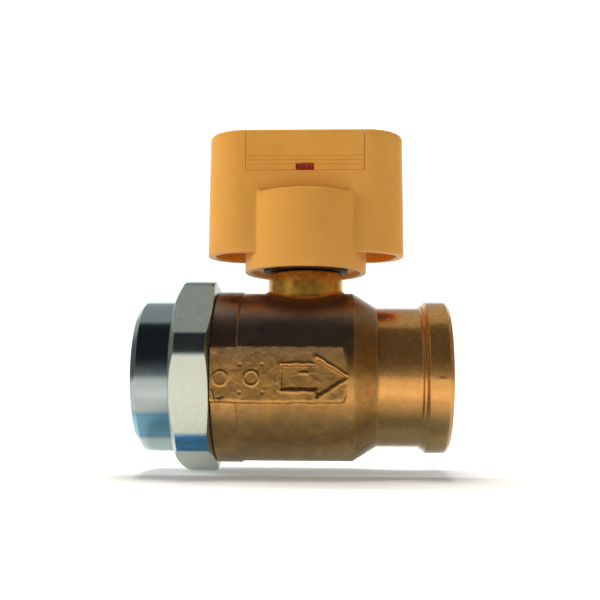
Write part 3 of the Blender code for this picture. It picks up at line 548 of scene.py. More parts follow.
def shelf_fillet(side, radius=0.9):
    """The small cove between the boss's shelf and the flat side above it."""
    wall = wing_half_width(BOSS_TOP_Z)
    section = [(wall - 0.4, BOSS_TOP_Z - 0.4), (wall - 0.4, BOSS_TOP_Z + radius)]
    section += [
        (wall + radius * (1 - math.cos(t)), BOSS_TOP_Z + radius * (1 - math.sin(t))) for t in quarter(7)
    ]
    section += [(wall + radius, BOSS_TOP_Z - 0.4)]
    rings = [[(STEM_X + x, side * y, z) for y, z in section] for x in np.linspace(-14, 14, 3)]
    bar = loft(f"cove_{side}", rings)
    boolean(bar, upright("cove_keep", BOSS_R - 0.15, 40, 60, 96), "INTERSECT")
    return bar


def boss_cove(side, end, radius=1.0):
    """The small cove where the round boss leaves the flat side."""
    rings = []
    for z in np.linspace(WING_BOTTOM_Z + 0.5, BOSS_TOP_Z - 0.5, 8):
        wall = wing_half_width(z)
        centre = np.array([math.sqrt((BOSS_R + radius) ** 2 - (wall + radius) ** 2), wall + radius])
        turned_to = math.atan2(centre[1], centre[0]) - math.pi
        arc = [centre + radius * np.array([math.cos(t), math.sin(t)])
               for t in np.linspace(-math.pi / 2, turned_to, 9)]
        meet = math.sqrt(BOSS_R**2 - wall**2)
        inside = [arc[-1] * 0.96, np.array([meet - 0.7, wall - 0.4]), np.array([centre[0], wall - 0.4])]
        rings.append([(STEM_X + end * px, side * py, z) for px, py in arc + inside])
    return loft(f"boss_cove_{side}_{end}", rings)


def upright(name, radius, low, high, steps=64):
    """A cylinder about the stem's axis."""
    return turn_on_stem(name, rounded([(low, 0), (low, radius), (high, radius), (high, 0)]), steps)


def square_cutter(low, high):
    """A square hole's cutter, a little larger than the stem's square end."""
    half = STEM_SQUARE_HALF
    return block("square_cutter", (STEM_X - half, -half, low), (STEM_X + half, half, high))


def make_handle():
    handle = make_wings()
    join(handle, make_boss())
    for side in (-1, 1):
        join(handle, shelf_fillet(side))
        for end in (-1, 1):
            join(handle, boss_cove(side, end))
    join(handle, upright("hub", HUB_R, 30.4, HANDLE_TOP_Z - 2.0))
    for side in (-1, 1):
        ends = sorted((side * (HUB_R - 0.3), side * (WING_REACH + WING_HALF_WIDTH - 1.2)))
        rib_low = (STEM_X + ends[0], -0.8, BOSS_TOP_Z - 1.0)
        rib_high = (STEM_X + ends[1], 0.8, HANDLE_TOP_Z - 2.0)
        join(handle, block("rib", rib_low, rib_high))
    cut(handle, square_cutter(25, 37.6))
    cut(handle, upright("screw_way", 2.8, 30, 50, 32))
    cut(handle, upright("tunnel", TUNNEL_R, 41.0, 70, 48))
    skin = 1.25
    middle_width = wing_half_width((COVER_BOTTOM_Z + HANDLE_TOP_Z) / 2)
    left, right = STEM_X - COVER_HALF_LENGTH - 0.07, STEM_X + COVER_HALF_LENGTH + 0.1
    cut(handle, block("top_recess", (left, -14, HANDLE_TOP_Z - skin), (right, 14, 70)))
    for side in (-1, 1):
        ys = sorted((side * (middle_width - skin), side * 14))
        cut(handle, block("skirt_recess", (left, ys[0], COVER_BOTTOM_Z - 0.09), (right, ys[1], 70)))
    cut(handle, block("latch_pocket", (LATCH_LOW[0] - 0.3, -14, LATCH_LOW[2] - 0.15),
                      (LATCH_HIGH[0] + 0.3, LATCH_HIGH[1] + 0.4, LATCH_HIGH[2] + 0.25)))
    sharpen(handle)
    return handle


def make_cover():
    """Saddle lid: its cross-section is swept along X, with the three fine finger grooves in its skirts."""
    skin, edge = 1.0, 0.8
    side = [(z, 0.0) for z in np.arange(COVER_BOTTOM_Z + 0.15, GROOVE_Z[0] - 0.35, 0.3)]
    side += [(z, 1.0) for z in np.arange(GROOVE_Z[0] - 0.35, GROOVE_Z[-1] + 0.36, 0.06)]
    side += [(z, 0.0) for z in np.arange(GROOVE_Z[-1] + 0.5, HANDLE_TOP_Z - edge, 0.6)]
    half = [(wing_half_width(COVER_BOTTOM_Z) - 0.15, COVER_BOTTOM_Z, 0.0)]
    half += [(wing_half_width(z) - 0.01, z, grooved) for z, grooved in side]
    top_y = wing_half_width(HANDLE_TOP_Z) - 0.01
    half += [
        (top_y - edge * (1 - math.cos(t)), HANDLE_TOP_Z - edge * (1 - math.sin(t)), 0.0) for t in quarter(6)
    ]
    inner_y = wing_half_width((COVER_BOTTOM_Z + HANDLE_TOP_Z) / 2) - skin
    ceiling = HANDLE_TOP_Z - skin
    section = [(-y, z, grooved) for y, z, grooved in half] + half[::-1]
    section += [(inner_y, COVER_BOTTOM_Z, 0.0), (inner_y, ceiling, 0.0)]
    section += [(-inner_y, ceiling, 0.0), (-inner_y, COVER_BOTTOM_Z, 0.0)]
    length = COVER_HALF_LENGTH
    near_end = [length, length - 0.12, length - 0.5, length - 0.62]
    stations = [-x for x in near_end] + list(np.linspace(-length + 2, length - 2, 9)) + near_end[::-1]
    rings = []
    for x in stations:
        has_grooves = abs(x) < length - 0.55
        rounding = 0.12 if abs(x) > length - 0.05 else 0.0
        ring = []
        for y, z, grooved in section:
            depth = 0.0
            if grooved and has_grooves:
                nearest = min(abs(z - g) for g in GROOVE_Z)
                depth = 0.2 * (1 - smooth_step(0.08, 0.24, nearest))
            outer = abs(y) > inner_y + 0.3 or z > HANDLE_TOP_Z - 0.3
            shrink = rounding if outer else 0.0
            away = np.sign(y) * shrink if abs(y) > inner_y + 0.1 else 0.0
            down = shrink if z > HANDLE_TOP_Z - 0.3 else 0.0
            ring.append((STEM_X + x, y - away - np.sign(y) * depth, z - down))
        rings.append(ring)
    cover = loft("handle_cover_lid", rings, 30)
    notch_half = (LATCH_HIGH[0] - LATCH_LOW[0]) / 2 + 0.1
    cut(cover, block("notch", (STEM_X - notch_half, -14, COVER_BOTTOM_Z - 2),
                     (STEM_X + notch_half, 0, LATCH_HIGH[2] + 0.05), 0.1))
    join(cover, upright("stopper", TUNNEL_R - 0.25, HANDLE_TOP_Z - 5, HANDLE_TOP_Z - 0.5))
    sharpen(cover, 30)
    return cover


def make_latch():
    """Red insert with three shallow pockets in its face."""
    latch = block("latch_insert", LATCH_LOW, LATCH_HIGH, 0.16, 3)
    middle = (LATCH_LOW[2] + LATCH_HIGH[2]) / 2
    for x in (-1.15, 0, 1.15):
        tooth = block("tooth", (STEM_X + x - 0.25, LATCH_LOW[1] - 0.2, middle - 0.55),
                      (STEM_X + x + 0.25, LATCH_LOW[1] + 0.22, middle + 0.55), 0.08)
        cut(latch, tooth)
    return latch


# ---- pieces seen through the ports ----


def make_ball():
    edge = math.acos(BALL_BORE_R / BALL_R)
    end = BALL_R * math.sin(edge)
    arc = [(BALL_R * math.sin(a), BALL_R * math.cos(a)) for a in np.linspace(edge - 0.02, 0.02 - edge, 64)]
    profile = [(end - 0.3, BALL_BORE_R), *arc, (0.3 - end, BALL_BORE_R), (0, BALL_BORE_R)]
    ball = turn("ball_polished", np.array(profile) + (STEM_X, 0), around(128))
    slot_floor = 12.7
    cut(ball, block("slot", (STEM_X - 2.6, -20, slot_floor), (STEM_X + 2.6, 20, 20)))
    sharpen(ball, 28)
    return ball


def make_seat(side):
    outer_r = box_of("seat_ring_inlet" if side < 0 else "seat_ring_outlet")[1][1]
    contact = 12.6
    reach = math.sqrt(BALL_R**2 - contact**2)
    slope = contact / reach

    def cone_at(radius):
        return reach + 0.24 - slope * (radius - contact)

    corners = [
        (8.8, outer_r - 0.1), (14.0, outer_r - 0.1, 0.2), (14.0, THROAT_R, 0.25),
        (cone_at(THROAT_R), THROAT_R, 0.1), (cone_at(13.4), 13.4, 0.1), (8.8, outer_r - 0.1),
    ]
    profile = rounded(corners, 1.0)[:-1]
    profile[:, 0] = STEM_X + side * profile[:, 0]
    return turn(f"seat_{'inlet' if side < 0 else 'outlet'}_moulded", profile, around(96))


def make_plug():
    nose, back = PLUG_HIGH[0], PLUG_HIGH[0] - 3.4
    profile = rounded([
        (nose, 0), (nose, 4.0, 0.2), (nose - 0.35, 4.3, 0.2), (nose - 0.35, 8.2, 0.2),
        (nose, 8.5, 0.2), (nose, 11.0, 0.25), (nose - 2.6, 13.6, 0.2), (back, 13.6, 0.25),
        (back, 3.6, 0.3), (back - 0.6, 2.6, 0.2), (back - 0.6, 2.0, 0.2),
        (PLUG_LOW[0] + 0.6, 2.0, 0.2), (PLUG_LOW[0], 1.4, 0.1), (PLUG_LOW[0], 0),
    ], 1.0)
    return turn("closing_plug_turned", profile, around(96), closed=False)


def make_holder():
    left, right = HOLDER_LOW[0], HOLDER_HIGH[0]
    ring_left = right - 2.4
    outer_r = HOLDER_HIGH[1]
    ring_profile = rounded([
        (ring_left + 0.6, 13.2), (ring_left, 13.2, 0.25), (ring_left, outer_r, 0.25),
        (right, outer_r, 0.25), (right, 13.2, 0.25), (ring_left + 0.6, 13.2),
    ], 1.0)[:-1]
    holder = turn("fuse_holder_pressed", ring_profile, around(96))
    bore_r, hub_r = 3.1, 5.0
    hub_profile = rounded([
        (right, bore_r, 0.1), (right, bore_r), (right, hub_r, 0.3), (left, hub_r, 0.5),
        (left, bore_r, 0.2), (right, bore_r),
    ], 1.0)[1:-1]
    join(holder, turn("holder_hub", hub_profile, around(64)))
    for i in range(3):
        arm = block("arm", (ring_left + 0.1, -1.2, 4.0), (right - 0.1, 1.2, 14.0), 0.25)
        arm.data.transform(Matrix.Rotation(2 * math.pi * i / 3, 4, "X"))
        join(holder, arm)
    sharpen(holder)
    return holder


def make_snap_ring():
    inner_r, outer_r = 14.2, SNAP_HIGH[1]
    profile = rounded([
        (SNAP_LOW[0] + 0.4, inner_r), (SNAP_LOW[0], inner_r, 0.2), (SNAP_LOW[0], outer_r, 0.2),
        (SNAP_HIGH[0], outer_r, 0.2), (SNAP_HIGH[0], inner_r, 0.2), (SNAP_LOW[0] + 0.4, inner_r),
    ], 1.0)[:-1]
    snap = turn("snap_ring_bent", profile, around(96))
    cut(snap, block("gap", (SNAP_LOW[0] - 2, -4, -20), (SNAP_HIGH[0] + 2, 4, -10)))
    sharpen(snap)
    return snap


def make_spring():
    wire, turns = 0.8, 4
    count = turns * 40
    share = np.linspace(0, 1, count)
    angle = 2 * math.pi * turns * share
    radius = 10.4 + (6.2 - 10.4) * share
    low, high = SPRING_LOW[0] + wire / 2, SPRING_HIGH[0] - wire / 2
    path = np.stack([low + (high - low) * share, radius * np.cos(angle), radius * np.sin(angle)], -1)
    along = np.gradient(path, axis=0)
    along /= np.linalg.norm(along, axis=1)[:, None]
    up = np.array([1.0, 0, 0])
    side = np.cross(along, up)
    side /= np.linalg.norm(side, axis=1)[:, None]
    over = np.cross(side, along)
    rings = [
        [path[i] + wire / 2 * (math.cos(a) * side[i] + math.sin(a) * over[i]) for a in around(12)]
        for i in range(count)
    ]
    return loft("closing_spring_wire", rings, 60)


def make_stop_disc():
    low, high = DISC_LOW[2], DISC_HIGH[2]
    radius = DISC_HIGH[1]
    profile = rounded([(high, 0), (high, radius, 0.25), (low, radius, 0.25), (low, 0)], 2.0)
    disc = turn_on_stem("stop_disc_stamped", profile, 96)
    lug_r, at_r, angle = 1.3, 8.0, math.radians(45)
    margin = math.asin(lug_r / at_r) + math.radians(2)
    sweep = np.linspace(angle - margin, angle + math.pi / 2 + margin, 24)
    half = lug_r + 0.2
    outline = [((at_r + half) * math.cos(a), (at_r + half) * math.sin(a)) for a in sweep]
    outline += [((at_r - half) * math.cos(a), (at_r - half) * math.sin(a)) for a in sweep[::-1]]
    rings = [[(STEM_X + x, y, z) for x, y in outline] for z in (low - 1, high + 1)]
    cut(disc, loft("slot", rings))
    cut(disc, square_cutter(20, 40))
    sharpen(disc)
    return disc


# ---- materials ----


class Nodes:
    """Makes shader nodes in a node tree."""

    def __init__(self, tree):
        self.tree = tree

    def node(self, kind, inputs=(), **settings):
        """A new node; an input's value is another node's output or a plain value."""
        made = self.tree.nodes.new("ShaderNode" + kind)
        for key, value in settings.items():
            setattr(made, key, value)
        for key, value in dict(inputs).items():
            if isinstance(value, bpy.types.NodeSocket):
                self.tree.links.new(value, made.inputs[key])
            else:
                made.inputs[key].default_value = value
        return made

    def ramp(self, value, *stops):
        """A colour ramp over the value, with its (position, RGB colour) stops."""
        made = self.node("ValToRGB", {"Fac": value})
        elements = made.color_ramp.elements
        while len(elements) < len(stops):
            elements.new(0.5)
        for element, (at, colour) in zip(elements, stops):
            element.position = at
            element.color = (*colour, 1)
        return made.outputs["Color"]

    def grey(self, value, *stops):
        return self.ramp(value, *[(at, (v, v, v)) for at, v in stops])

    def mix(self, amount, a, b, blend="MIX"):
        colours = {key: value if isinstance(value, bpy.types.NodeSocket) else (*value, 1)
                   for key, value in ((6, a), (7, b))}
        return self.node("Mix", {0: amount, **colours}, data_type="RGBA", blend_type=blend).outputs[2]

    def tinted(self, colour, tint):
        """The colour multiplied by the tint."""
        return self.mix(1.0, colour, tint, "MULTIPLY")

    def maths(self, operation, a, b=0.0):
        return self.node("Math", {0: a, 1: b}, operation=operation).outputs[0]

    def times(self, a, b):
        return self.maths("MULTIPLY", a, b)

    def plus(self, a, b):
        return self.maths("ADD", a, b)

    def length(self, a, b):
        """The length of a vector with these two parts."""
        return self.maths("SQRT", self.plus(self.times(a, a), self.times(b, b)))


class Shader(Nodes):
    """A Principled material, made step by step."""

    def __init__(self, name, colour, metallic, roughness):
        self.material = bpy.data.materials.new(name)
        self.material.use_nodes = True
        super().__init__(self.material.node_tree)
        self.surface = self.tree.nodes["Principled BSDF"]
        self.surface.inputs["Base Color"].default_value = (*colour, 1)
        self.surface.inputs["Metallic"].default_value = metallic
        self.surface.inputs["Roughness"].default_value = roughness
        self.place = self.tree.nodes.new("ShaderNodeTexCoord").outputs["Object"]

    def stretch(self, scale):
        return self.node("Mapping", {"Vector": self.place, "Scale": scale}).outputs[0]

    def noise(self, scale, detail, rough, vector=None):
        """scale is in features per millimetre."""
        inputs = {"Vector": vector or self.place, "Scale": scale / MM, "Detail": detail, "Roughness": rough}
        return self.node("TexNoise", inputs).outputs["Fac"]

    def axes(self):
        return self.node("SeparateXYZ", {0: self.place}).outputs

    def bump(self, height, distance, normal=None):
        """distance is the height's full depth in millimetres."""
        inputs = {"Height": height, "Distance": distance * MM}
        if normal is not None:
            inputs["Normal"] = normal
        return self.node("Bump", inputs).outputs[0]

    def set(self, **sockets):
        for key, value in sockets.items():
            self.tree.links.new(value, self.surface.inputs[key.replace("_", " ")])
        return self.material


RAMP_SPAN = 50.0  # millimetres that a ramp over a length runs from 0 to 1


def forged_brass():
    """Shot-blasted forging, dull on the barrel and its pads, brighter on the tube and the bead."""
    s = Shader("forged_brass", (0.6, 0.32, 0.11), 1.0, 0.35)
    x, y, z = s.axes()
    along = s.maths("SUBTRACT", s.times(x, 1 / MM), STEM_X)
    along_share = s.times(along, 1 / RAMP_SPAN)
    turned = s.grey(along_share, (0.37, 0.0), (0.385, 1.0))
    cloud = s.noise(0.13, 5, 0.6)
    colour = s.ramp(cloud, (0.3, (0.4, 0.2, 0.054)), (0.5, (0.5, 0.25, 0.068)), (0.72, (0.62, 0.32, 0.094)))
    stain = s.grey(s.noise(0.42, 6, 0.68), (0.42, 0.0), (0.66, 1.0))
    colour = s.mix(s.times(stain, 0.55), colour, (0.26, 0.16, 0.065))
    height = s.times(z, 1 / MM / RAMP_SPAN)
    # painted shade: the barrel's upper half is painted dark brown, standing in for the dark room it reflects;
    # painted highlight: the neck above it is painted brighter
    painted_top_shade = s.times(s.grey(height, (0.06, 0.0), (0.2, 1.0)),
                      s.grey(along_share, (0.2, 1.0), (0.3, 0.0)))
    colour = s.mix(painted_top_shade, colour, s.ramp(cloud, (0.3, (0.24, 0.16, 0.115)), (0.7, (0.36, 0.24, 0.16))))
    # painted highlight: the neck is painted a brighter, more golden brass, standing in for the warm light it
    # reflects from the handle and from the front
    radial = s.length(y, s.times(along, MM))
    neck = s.times(s.grey(height, (0.3, 0.0), (0.32, 1.0)),
                   s.grey(s.times(radial, 1 / MM / RAMP_SPAN), (0.205, 1.0), (0.215, 0.0)))
    painted_neck_highlight = s.ramp(s.noise(0.5, 5, 0.7), (0.35, (0.7, 0.32, 0.04)), (0.65, (1.0, 0.54, 0.11)))
    colour = s.mix(neck, colour, painted_neck_highlight)
    colour = s.mix(s.times(turned, 0.6), colour, (0.9, 0.43, 0.12))
    spotted = s.times(s.grey(s.noise(0.9, 6, 0.8), (0.45, 0.0), (0.62, 1.0)), turned)
    colour = s.mix(s.times(spotted, 0.35), colour, (0.46, 0.23, 0.07))
    # painted shade: the cone between the barrel and the tube is painted darker, dimming the bright horizon it
    # reflects
    cone = s.grey(along_share, (0.24, 0.0), (0.27, 1.0), (0.36, 1.0), (0.375, 0.0))
    colour = s.mix(cone, colour, s.tinted(colour, (0.74, 0.7, 0.62)))
    # painted shade: the underside is painted darker and bluer, standing in for the shadowed floor it reflects;
    # least on the forging, most on the turned end
    underside = s.plus(height, 0.5)
    painted_underside_shade = s.mix(
        turned,
        s.ramp(underside, (0.14, (0.78, 0.98, 1.3)), (0.26, (0.8, 0.98, 1.25)), (0.36, (1.0, 1.0, 1.0))),
        s.ramp(underside, (0.14, (0.52, 0.72, 1.0)), (0.28, (0.5, 0.68, 0.9)), (0.34, (0.8, 0.85, 0.95)),
               (0.39, (1.0, 1.0, 1.0))),
    )
    colour = s.tinted(colour, painted_underside_shade)
    fleck = s.grey(s.noise(2.2, 4, 0.7), (0.6, 0.0), (0.7, 1.0))
    fleck = s.times(fleck, s.maths("SUBTRACT", 1.0, painted_top_shade))
    colour = s.mix(s.times(fleck, 0.25), colour, (0.9, 0.6, 0.28))
    rough = s.mix(turned, s.grey(s.noise(0.4, 5, 0.6), (0.3, 0.26), (0.7, 0.36)),
                  s.grey(s.noise(0.8, 6, 0.7), (0.36, 0.16), (0.64, 0.28)))
    grain = s.noise(3.2, 2, 0.5)
    waves = s.noise(0.3, 3, 0.5)
    normal = s.bump(grain, 0.006, s.bump(waves, 0.05))
    film = s.grey(turned, (0.0, 0.95), (1.0, 0.86))  # the oxide film scatters a little light
    return s.set(Base_Color=colour, Roughness=rough, Normal=normal, Metallic=film)


def zinc_plate():
    """Bright zinc over turned steel, its hexagon flats duller and mottled."""
    s = Shader("blue_zinc_plate", (0.72, 0.76, 0.76), 1.0, 0.2)
    _, y, z = s.axes()
    radius = s.length(y, z)
    radius_share = s.times(radius, 1 / MM / RAMP_SPAN)
    flats = s.grey(radius_share, (0.404, 0.0), (0.416, 1.0))
    tint = s.ramp(
        s.noise(0.09, 3, 0.5),
        (0.3, (0.33, 0.39, 0.405)), (0.55, (0.375, 0.42, 0.40)), (0.75, (0.395, 0.415, 0.365)),
    )
    speck = s.grey(s.noise(1.3, 5, 0.8), (0.5, 0.0), (0.62, 1.0))
    tint = s.mix(s.times(s.times(speck, flats), 0.7), tint, (0.24, 0.26, 0.24))
    tint = s.mix(flats, tint, s.mix(0.5, tint, (0.76, 0.77, 0.62)))
    # painted reflection: on the tube's front half the lower flanks are painted blue and the underside
    # brighter, standing in for the shadowed floor and the lit floor behind that they reflect
    slope = s.plus(s.times(s.maths("DIVIDE", z, radius), 0.5), 0.5)
    painted_floor_reflection = s.ramp(
        slope,
        (0.085, (1.45, 1.5, 1.5)), (0.115, (0.4, 0.7, 0.95)), (0.13, (0.55, 1.02, 1.4)),
        (0.23, (0.5, 0.95, 1.3)), (0.25, (0.38, 0.72, 1.0)), (0.275, (1.0, 1.0, 1.0)),
    )
    tube = s.grey(radius_share, (0.4, 1.0), (0.404, 0.0))
    facing = s.grey(s.plus(s.times(y, 20.0), 0.5), (0.42, 1.0), (0.56, 0.0))
    tint = s.mix(s.times(tube, facing), tint, s.tinted(tint, painted_floor_reflection))
    edges = s.grey(radius_share, *[((HEX_CORNER_R - inset) / RAMP_SPAN, value)
                                   for inset, value in ((0.3, 0.0), (0.15, 1.0))])
    tint = s.mix(edges, tint, (0.26, 0.3, 0.3))
    # painted reflection: the hexagon's lower front corners are painted a streaky blue, standing in for the
    # shadowed floor they reflect
    corner = s.times(s.times(edges, facing), s.maths("LESS_THAN", z, 0.0))
    painted_blue_streak = s.grey(s.noise(2.0, 3, 0.6, s.stretch((0.12, 1.0, 1.0))), (0.4, 0.8), (0.6, 1.1))
    tint = s.mix(corner, tint, s.tinted(painted_blue_streak, (0.1, 0.34, 0.6)))
    rough = s.mix(flats, s.grey(s.noise(0.5, 4, 0.6), (0.3, 0.1), (0.7, 0.2)),
                  s.grey(s.noise(0.9, 5, 0.65), (0.3, 0.26), (0.7, 0.42)))
    turning = s.noise(1.0, 2, 0.5, s.stretch((6.0, 0.3, 0.3)))
    normal = s.bump(turning, 0.004, s.bump(s.noise(0.7, 4, 0.6), 0.005))
    return s.set(Base_Color=tint, Roughness=rough, Normal=normal)


def yellow_plastic():
    s = Shader("yellow_moulded_plastic", (0.8, 0.43, 0.1), 0.0, 0.45)
    s.surface.inputs["Subsurface Weight"].default_value = 0.4
    s.surface.inputs["Subsurface Radius"].default_value = (0.004, 0.0014, 0.0003)
    tint = s.ramp(s.noise(0.06, 3, 0.5), (0.3, (0.74, 0.355, 0.062)), (0.7, (0.8, 0.395, 0.075)))
    dust = s.grey(s.noise(1.4, 5, 0.7), (0.55, 0.0), (0.75, 1.0))
    colour = s.mix(s.times(dust, 0.1), tint, (0.6, 0.32, 0.07))
    # painted light: inside the wings the plastic is painted a deeper, brighter orange, standing in for the
    # light that passes through it and bounces between the walls
    x, y, z = s.axes()
    along = s.maths("ABSOLUTE", s.maths("SUBTRACT", s.times(x, 1 / MM), STEM_X))
    past = s.maths("MAXIMUM", s.maths("SUBTRACT", along, WING_REACH), 0.0)
    across = s.times(y, 1 / MM)
    inset = s.length(past, across)
    inside = s.times(s.maths("LESS_THAN", inset, WING_HALF_WIDTH - 1.3),
                     s.times(s.maths("GREATER_THAN", z, (WING_BOTTOM_Z + 0.2) * MM),
                             s.maths("LESS_THAN", z, (HANDLE_TOP_Z - 2.5) * MM)))
    painted_inner_glow = s.ramp(s.noise(0.06, 3, 0.5), (0.3, (0.9, 0.33, 0.03)), (0.7, (0.95, 0.38, 0.045)))
    colour = s.mix(inside, colour, painted_inner_glow)
    rough = s.grey(s.noise(0.4, 4, 0.6), (0.3, 0.4), (0.7, 0.54))
    normal = s.bump(s.noise(5.0, 2, 0.5), 0.008, s.bump(s.noise(0.12, 2, 0.4), 0.06))
    return s.set(Base_Color=colour, Roughness=rough, Normal=normal)


def red_plastic():
    s = Shader("red_insert", (0.42, 0.03, 0.012), 0.0, 0.35)
    colour = s.ramp(s.noise(0.8, 3, 0.5), (0.3, (0.36, 0.022, 0.01)), (0.7, (0.5, 0.04, 0.016)))
    return s.set(Base_Color=colour, Normal=s.bump(s.noise(4, 2, 0.5), 0.01))


def plain_detail(name, dark, light, metallic, rough_low, rough_high, grain=3.0, depth=0.01):
    """A material with mottled colour, uneven gloss and a fine grain, for the small inner pieces."""
    s = Shader(name, light, metallic, rough_high)
    colour = s.ramp(s.noise(0.3, 4, 0.6), (0.3, dark), (0.7, light))
    rough = s.grey(s.noise(0.7, 4, 0.6), (0.3, rough_low), (0.7, rough_high))
    return s.set(Base_Color=colour, Roughness=rough, Normal=s.bump(s.noise(grain, 3, 0.5), depth))


# ---- assembly ----

FINISHES = {
    "cast_brass": forged_brass(),
    "zinc_steel": zinc_plate(),
    "yellow_plastic": yellow_plastic(),
    "red_plastic": red_plastic(),
}
# slot: name, dark and light colour, metallic, low and high roughness, and the grain's scale and depth
for slot, settings in {
    "machined_brass": ("turned_brass", (0.58, 0.38, 0.13), (0.68, 0.47, 0.2), 1.0, 0.18, 0.3),
    "chrome": ("hard_chrome", (0.7, 0.71, 0.73), (0.8, 0.81, 0.83), 1.0, 0.05, 0.12, 1.0, 0.002),
    "spring_steel": ("spring_wire", (0.32, 0.32, 0.33), (0.5, 0.5, 0.52), 1.0, 0.25, 0.4),
    "fusible_alloy": ("fusible_alloy", (0.42, 0.42, 0.42), (0.6, 0.6, 0.6), 1.0, 0.45, 0.65, 2.0, 0.03),
    "black_steel": ("black_oxide", (0.028, 0.014, 0.008), (0.05, 0.026, 0.015), 0.3, 0.6, 0.8),
    "ptfe": ("ptfe", (0.74, 0.73, 0.69), (0.84, 0.83, 0.79), 0.0, 0.4, 0.55),
    "black_rubber": ("rubber", (0.012, 0.012, 0.012), (0.03, 0.03, 0.03), 0.0, 0.5, 0.7),
}.items():
    FINISHES[slot] = plain_detail(*settings)


def dress_cad_nodes():
    """The small CAD pieces that stay take the finish of their slot."""
    for part in frame["record"]["subparts"]:
        node = frame["nodes"][part["node"]]
        node.data.materials.clear()
        node.data.materials.append(FINISHES[part["material_slot"]])
        node.data.shade_smooth()


def build():
    dress_cad_nodes()
    for make, body, slot, node in (
        (make_body, "body", "cast_brass", "valve_body"),
        (make_connector, "body", "zinc_steel", "inlet_connector"),
        (make_handle, "handle", "yellow_plastic", "handle"),
        (make_cover, "cover", "yellow_plastic", "handle_cover"),
        (make_latch, "handle", "red_plastic", "cover_latch"),
        (make_ball, "ball", "chrome", "ball"),
        (lambda: make_seat(-1), "body", "ptfe", "seat_ring_inlet"),
        (lambda: make_seat(1), "body", "ptfe", "seat_ring_outlet"),
        (make_plug, "plug", "zinc_steel", "closing_plug"),
        (make_holder, "body", "zinc_steel", "fuse_holder"),
        (make_snap_ring, "body", "spring_steel", "fuse_retaining_ring"),
        (make_stop_disc, "handle", "black_steel", "stop_disc"),
    ):
        piece = make()
        piece.data.materials.clear()
        piece.data.materials.append(FINISHES[slot])
        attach(piece, body)
        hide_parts(node)
    spring = make_spring()
    spring.data.materials.append(FINISHES["spring_steel"])
    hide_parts("closing_spring")
    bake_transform(spring)


# ---- studio and camera ----

# Brightness round the pipe axis: 0 is level towards the camera, 0.5 straight up or down, 1 level behind.
ROOM = [
    (0.0, 0.3), (0.05, 0.17), (0.1, 0.06), (0.15, 0.024),
    (0.475, 0.024), (0.5, 0.5), (0.83, 0.5), (0.865, 1.2),
]
DARK = 0.03  # below this the light is tinted blue
# The walls across the pipe's ends: a pale strip to the left of the camera, a warm wall to the right.
WALLS = [
    (0.0, (0.14, 0.16, 0.17)), (0.07, (0.14, 0.16, 0.17)), (0.12, (0.6, 0.6, 0.56)), (0.2, (0.6, 0.6, 0.56)),
    (0.25, (0.16, 0.17, 0.17)), (0.75, (0.16, 0.15, 0.13)), (0.9, (0.24, 0.19, 0.13)),
]
ROOM_TINT, DARK_TINT = (0.9, 0.98, 1.0), (0.8, 1.0, 1.35)


def build_world():
    """Grades the light by its direction, so that the metal reflects a room and not an even grey."""
    world = bpy.data.worlds.new("studio")
    bpy.context.scene.world = world
    world.use_nodes = True
    s = Nodes(world.node_tree)
    x, y, z = s.node("SeparateXYZ", {0: s.node("TexCoord").outputs["Generated"]}).outputs
    angle = s.maths("ARCTAN2", s.maths("ABSOLUTE", z), s.times(y, -1.0))
    tinted = [(at, value, DARK_TINT if value < DARK else ROOM_TINT) for at, value in ROOM]
    room = s.ramp(s.maths("DIVIDE", angle, math.pi),
                  *[(at, [value * channel for channel in tint]) for at, value, tint in tinted])
    walls = s.ramp(s.plus(s.times(x, 0.5), 0.5), *WALLS)  # 0 on the left, 1 on the right
    sideways = s.grey(s.maths("ABSOLUTE", x), (0.5, 0.0), (0.8, 1.0))
    background = s.tree.nodes["Background"].inputs["Color"]
    s.tree.links.new(s.mix(sideways, room, walls), background)


FLOOR_SIZE, FLOOR_Z = 40.0, -25.3  # half its width, in metres; its height, in millimetres
# name, place and target in metres, size in metres, watts, colour
LAMPS = [
    ("overhead", (0.01, 0.14, 0.55), (0.04, 0, -0.02), 0.26, 3.4, (1.0, 0.95, 0.88)),
    ("left_fill", (-0.5, -0.2, 0.2), (0.03, 0, 0.03), 0.25, 2.0, (1.0, 0.96, 0.9)),
    ("right_fill", (0.5, -0.2, 0.2), (0.05, 0, 0.03), 0.25, 0.6, (1.0, 0.96, 0.9)),
]


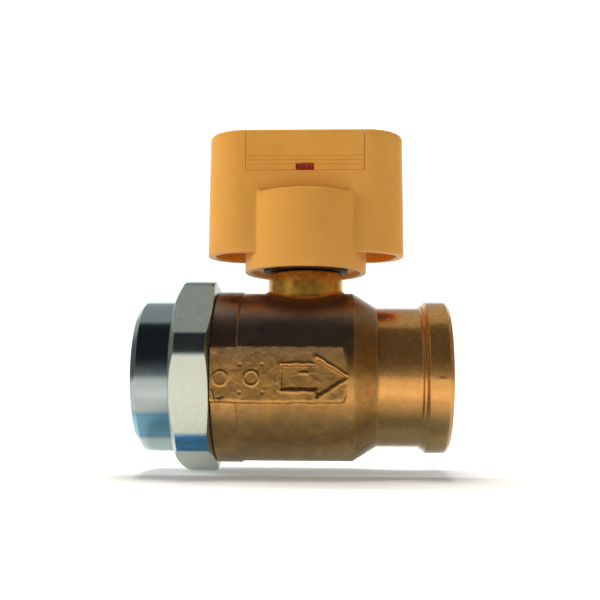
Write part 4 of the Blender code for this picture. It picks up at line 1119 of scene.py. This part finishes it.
def build_stage():
    mesh = bpy.data.meshes.new("floor")
    corners = [(x * FLOOR_SIZE, y * FLOOR_SIZE, 0) for x, y in ((-1, -1), (1, -1), (1, 1), (-1, 1))]
    mesh.from_pydata(corners, [], [(0, 1, 2, 3)])
    floor = link("floor", mesh)
    floor.location = (STEM_X * MM, 0, FLOOR_Z * MM)
    s = Shader("pale_floor", (0.85, 0.85, 0.85), 0.0, 0.9)
    s.surface.inputs["Specular IOR Level"].default_value = 0.0
    s.surface.inputs["Emission Strength"].default_value = 1.0
    x, y, _ = s.axes()
    away = s.length(x, y)
    # the far floor glows where the camera looks, so the backdrop is white down to the horizon
    beyond = s.maths("MAXIMUM", s.plus(y, 0.25), 0.001)
    spread = s.maths("DIVIDE", s.maths("ABSOLUTE", x), beyond)
    seen = s.grey(s.times(spread, 0.5), (0.2, 1.0), (0.32, 0.12))
    glow = s.tinted(seen, s.grey(away, (0.1, 0.0), (0.3, 0.6), (0.6, 0.95), (1.0, 1.05)))
    # two dim zones near the object that light its underside: one below and behind it, one in front
    behind = s.times(s.plus(y, 0.02), 10.0)
    before = s.times(y, -10.0)
    aside = s.times(s.maths("ABSOLUTE", x), 10.0)
    under_glow = s.times(s.grey(behind, (0.06, 0.0), (0.1, 0.24), (0.9, 0.24), (1.0, 0.0)),
                         s.grey(aside, (0.4, 1.0), (0.9, 0.0)))
    front_glow = s.times(s.grey(before, (0.42, 0.0), (0.52, 0.25), (0.7, 0.25), (0.95, 0.0)),
                         s.grey(aside, (0.5, 1.0), (1.0, 0.0)))
    glow = s.mix(1.0, glow, s.mix(under_glow, (0.0, 0.0, 0.0), (0.9, 0.97, 1.0)), "LIGHTEN")
    glow = s.mix(1.0, glow, s.mix(front_glow, (0.0, 0.0, 0.0), (1.0, 0.97, 0.93)), "LIGHTEN")
    mesh.materials.append(
        s.set(Base_Color=s.grey(s.noise(0.01, 2, 0.5), (0.3, 0.84), (0.7, 0.86)), Emission_Color=glow)
    )
    build_world()
    for name, place, target, size_m, watts, colour in LAMPS:
        light = bpy.data.lights.new(name, "AREA")
        light.size = size_m
        light.energy = watts
        light.color = colour
        lamp = link(name, light)
        lamp.location = place
        lamp.visible_glossy = False  # the studio's walls and floor give the reflections
        lamp.rotation_euler = (Vector(target) - Vector(place)).to_track_quat("-Z", "Y").to_euler()


CAMERA_LENS, CAMERA_SHIFT_Y = 54.97, 0.066
CAMERA_AZIMUTH, CAMERA_ELEVATION, CAMERA_ROLL = 2.28, -3.82, 0.28  # degrees
CAMERA_TARGET, CAMERA_DISTANCE = (STEM_X - 1.43, 0, 10), 245.0


def build_camera():
    camera = link("camera", bpy.data.cameras.new("camera"))
    camera.data.sensor_width = 36
    camera.data.lens = CAMERA_LENS
    camera.data.shift_y = CAMERA_SHIFT_Y
    azimuth, elevation, roll = (math.radians(a) for a in (CAMERA_AZIMUTH, CAMERA_ELEVATION, CAMERA_ROLL))
    level_back = math.cos(elevation)
    back = Vector((math.sin(azimuth) * level_back, -math.cos(azimuth) * level_back, math.sin(elevation)))
    camera.location = (Vector(CAMERA_TARGET) + CAMERA_DISTANCE * back) * MM
    level = Euler((math.pi / 2 - elevation, 0, azimuth)).to_matrix()
    camera.rotation_euler = (level @ Matrix.Rotation(roll, 3, "Z")).to_euler()
    camera.data.clip_start, camera.data.clip_end = 0.01, 200
    bpy.context.scene.camera = camera
    bpy.context.scene.view_settings.view_transform = "Standard"


build()
build_stage()
build_camera()
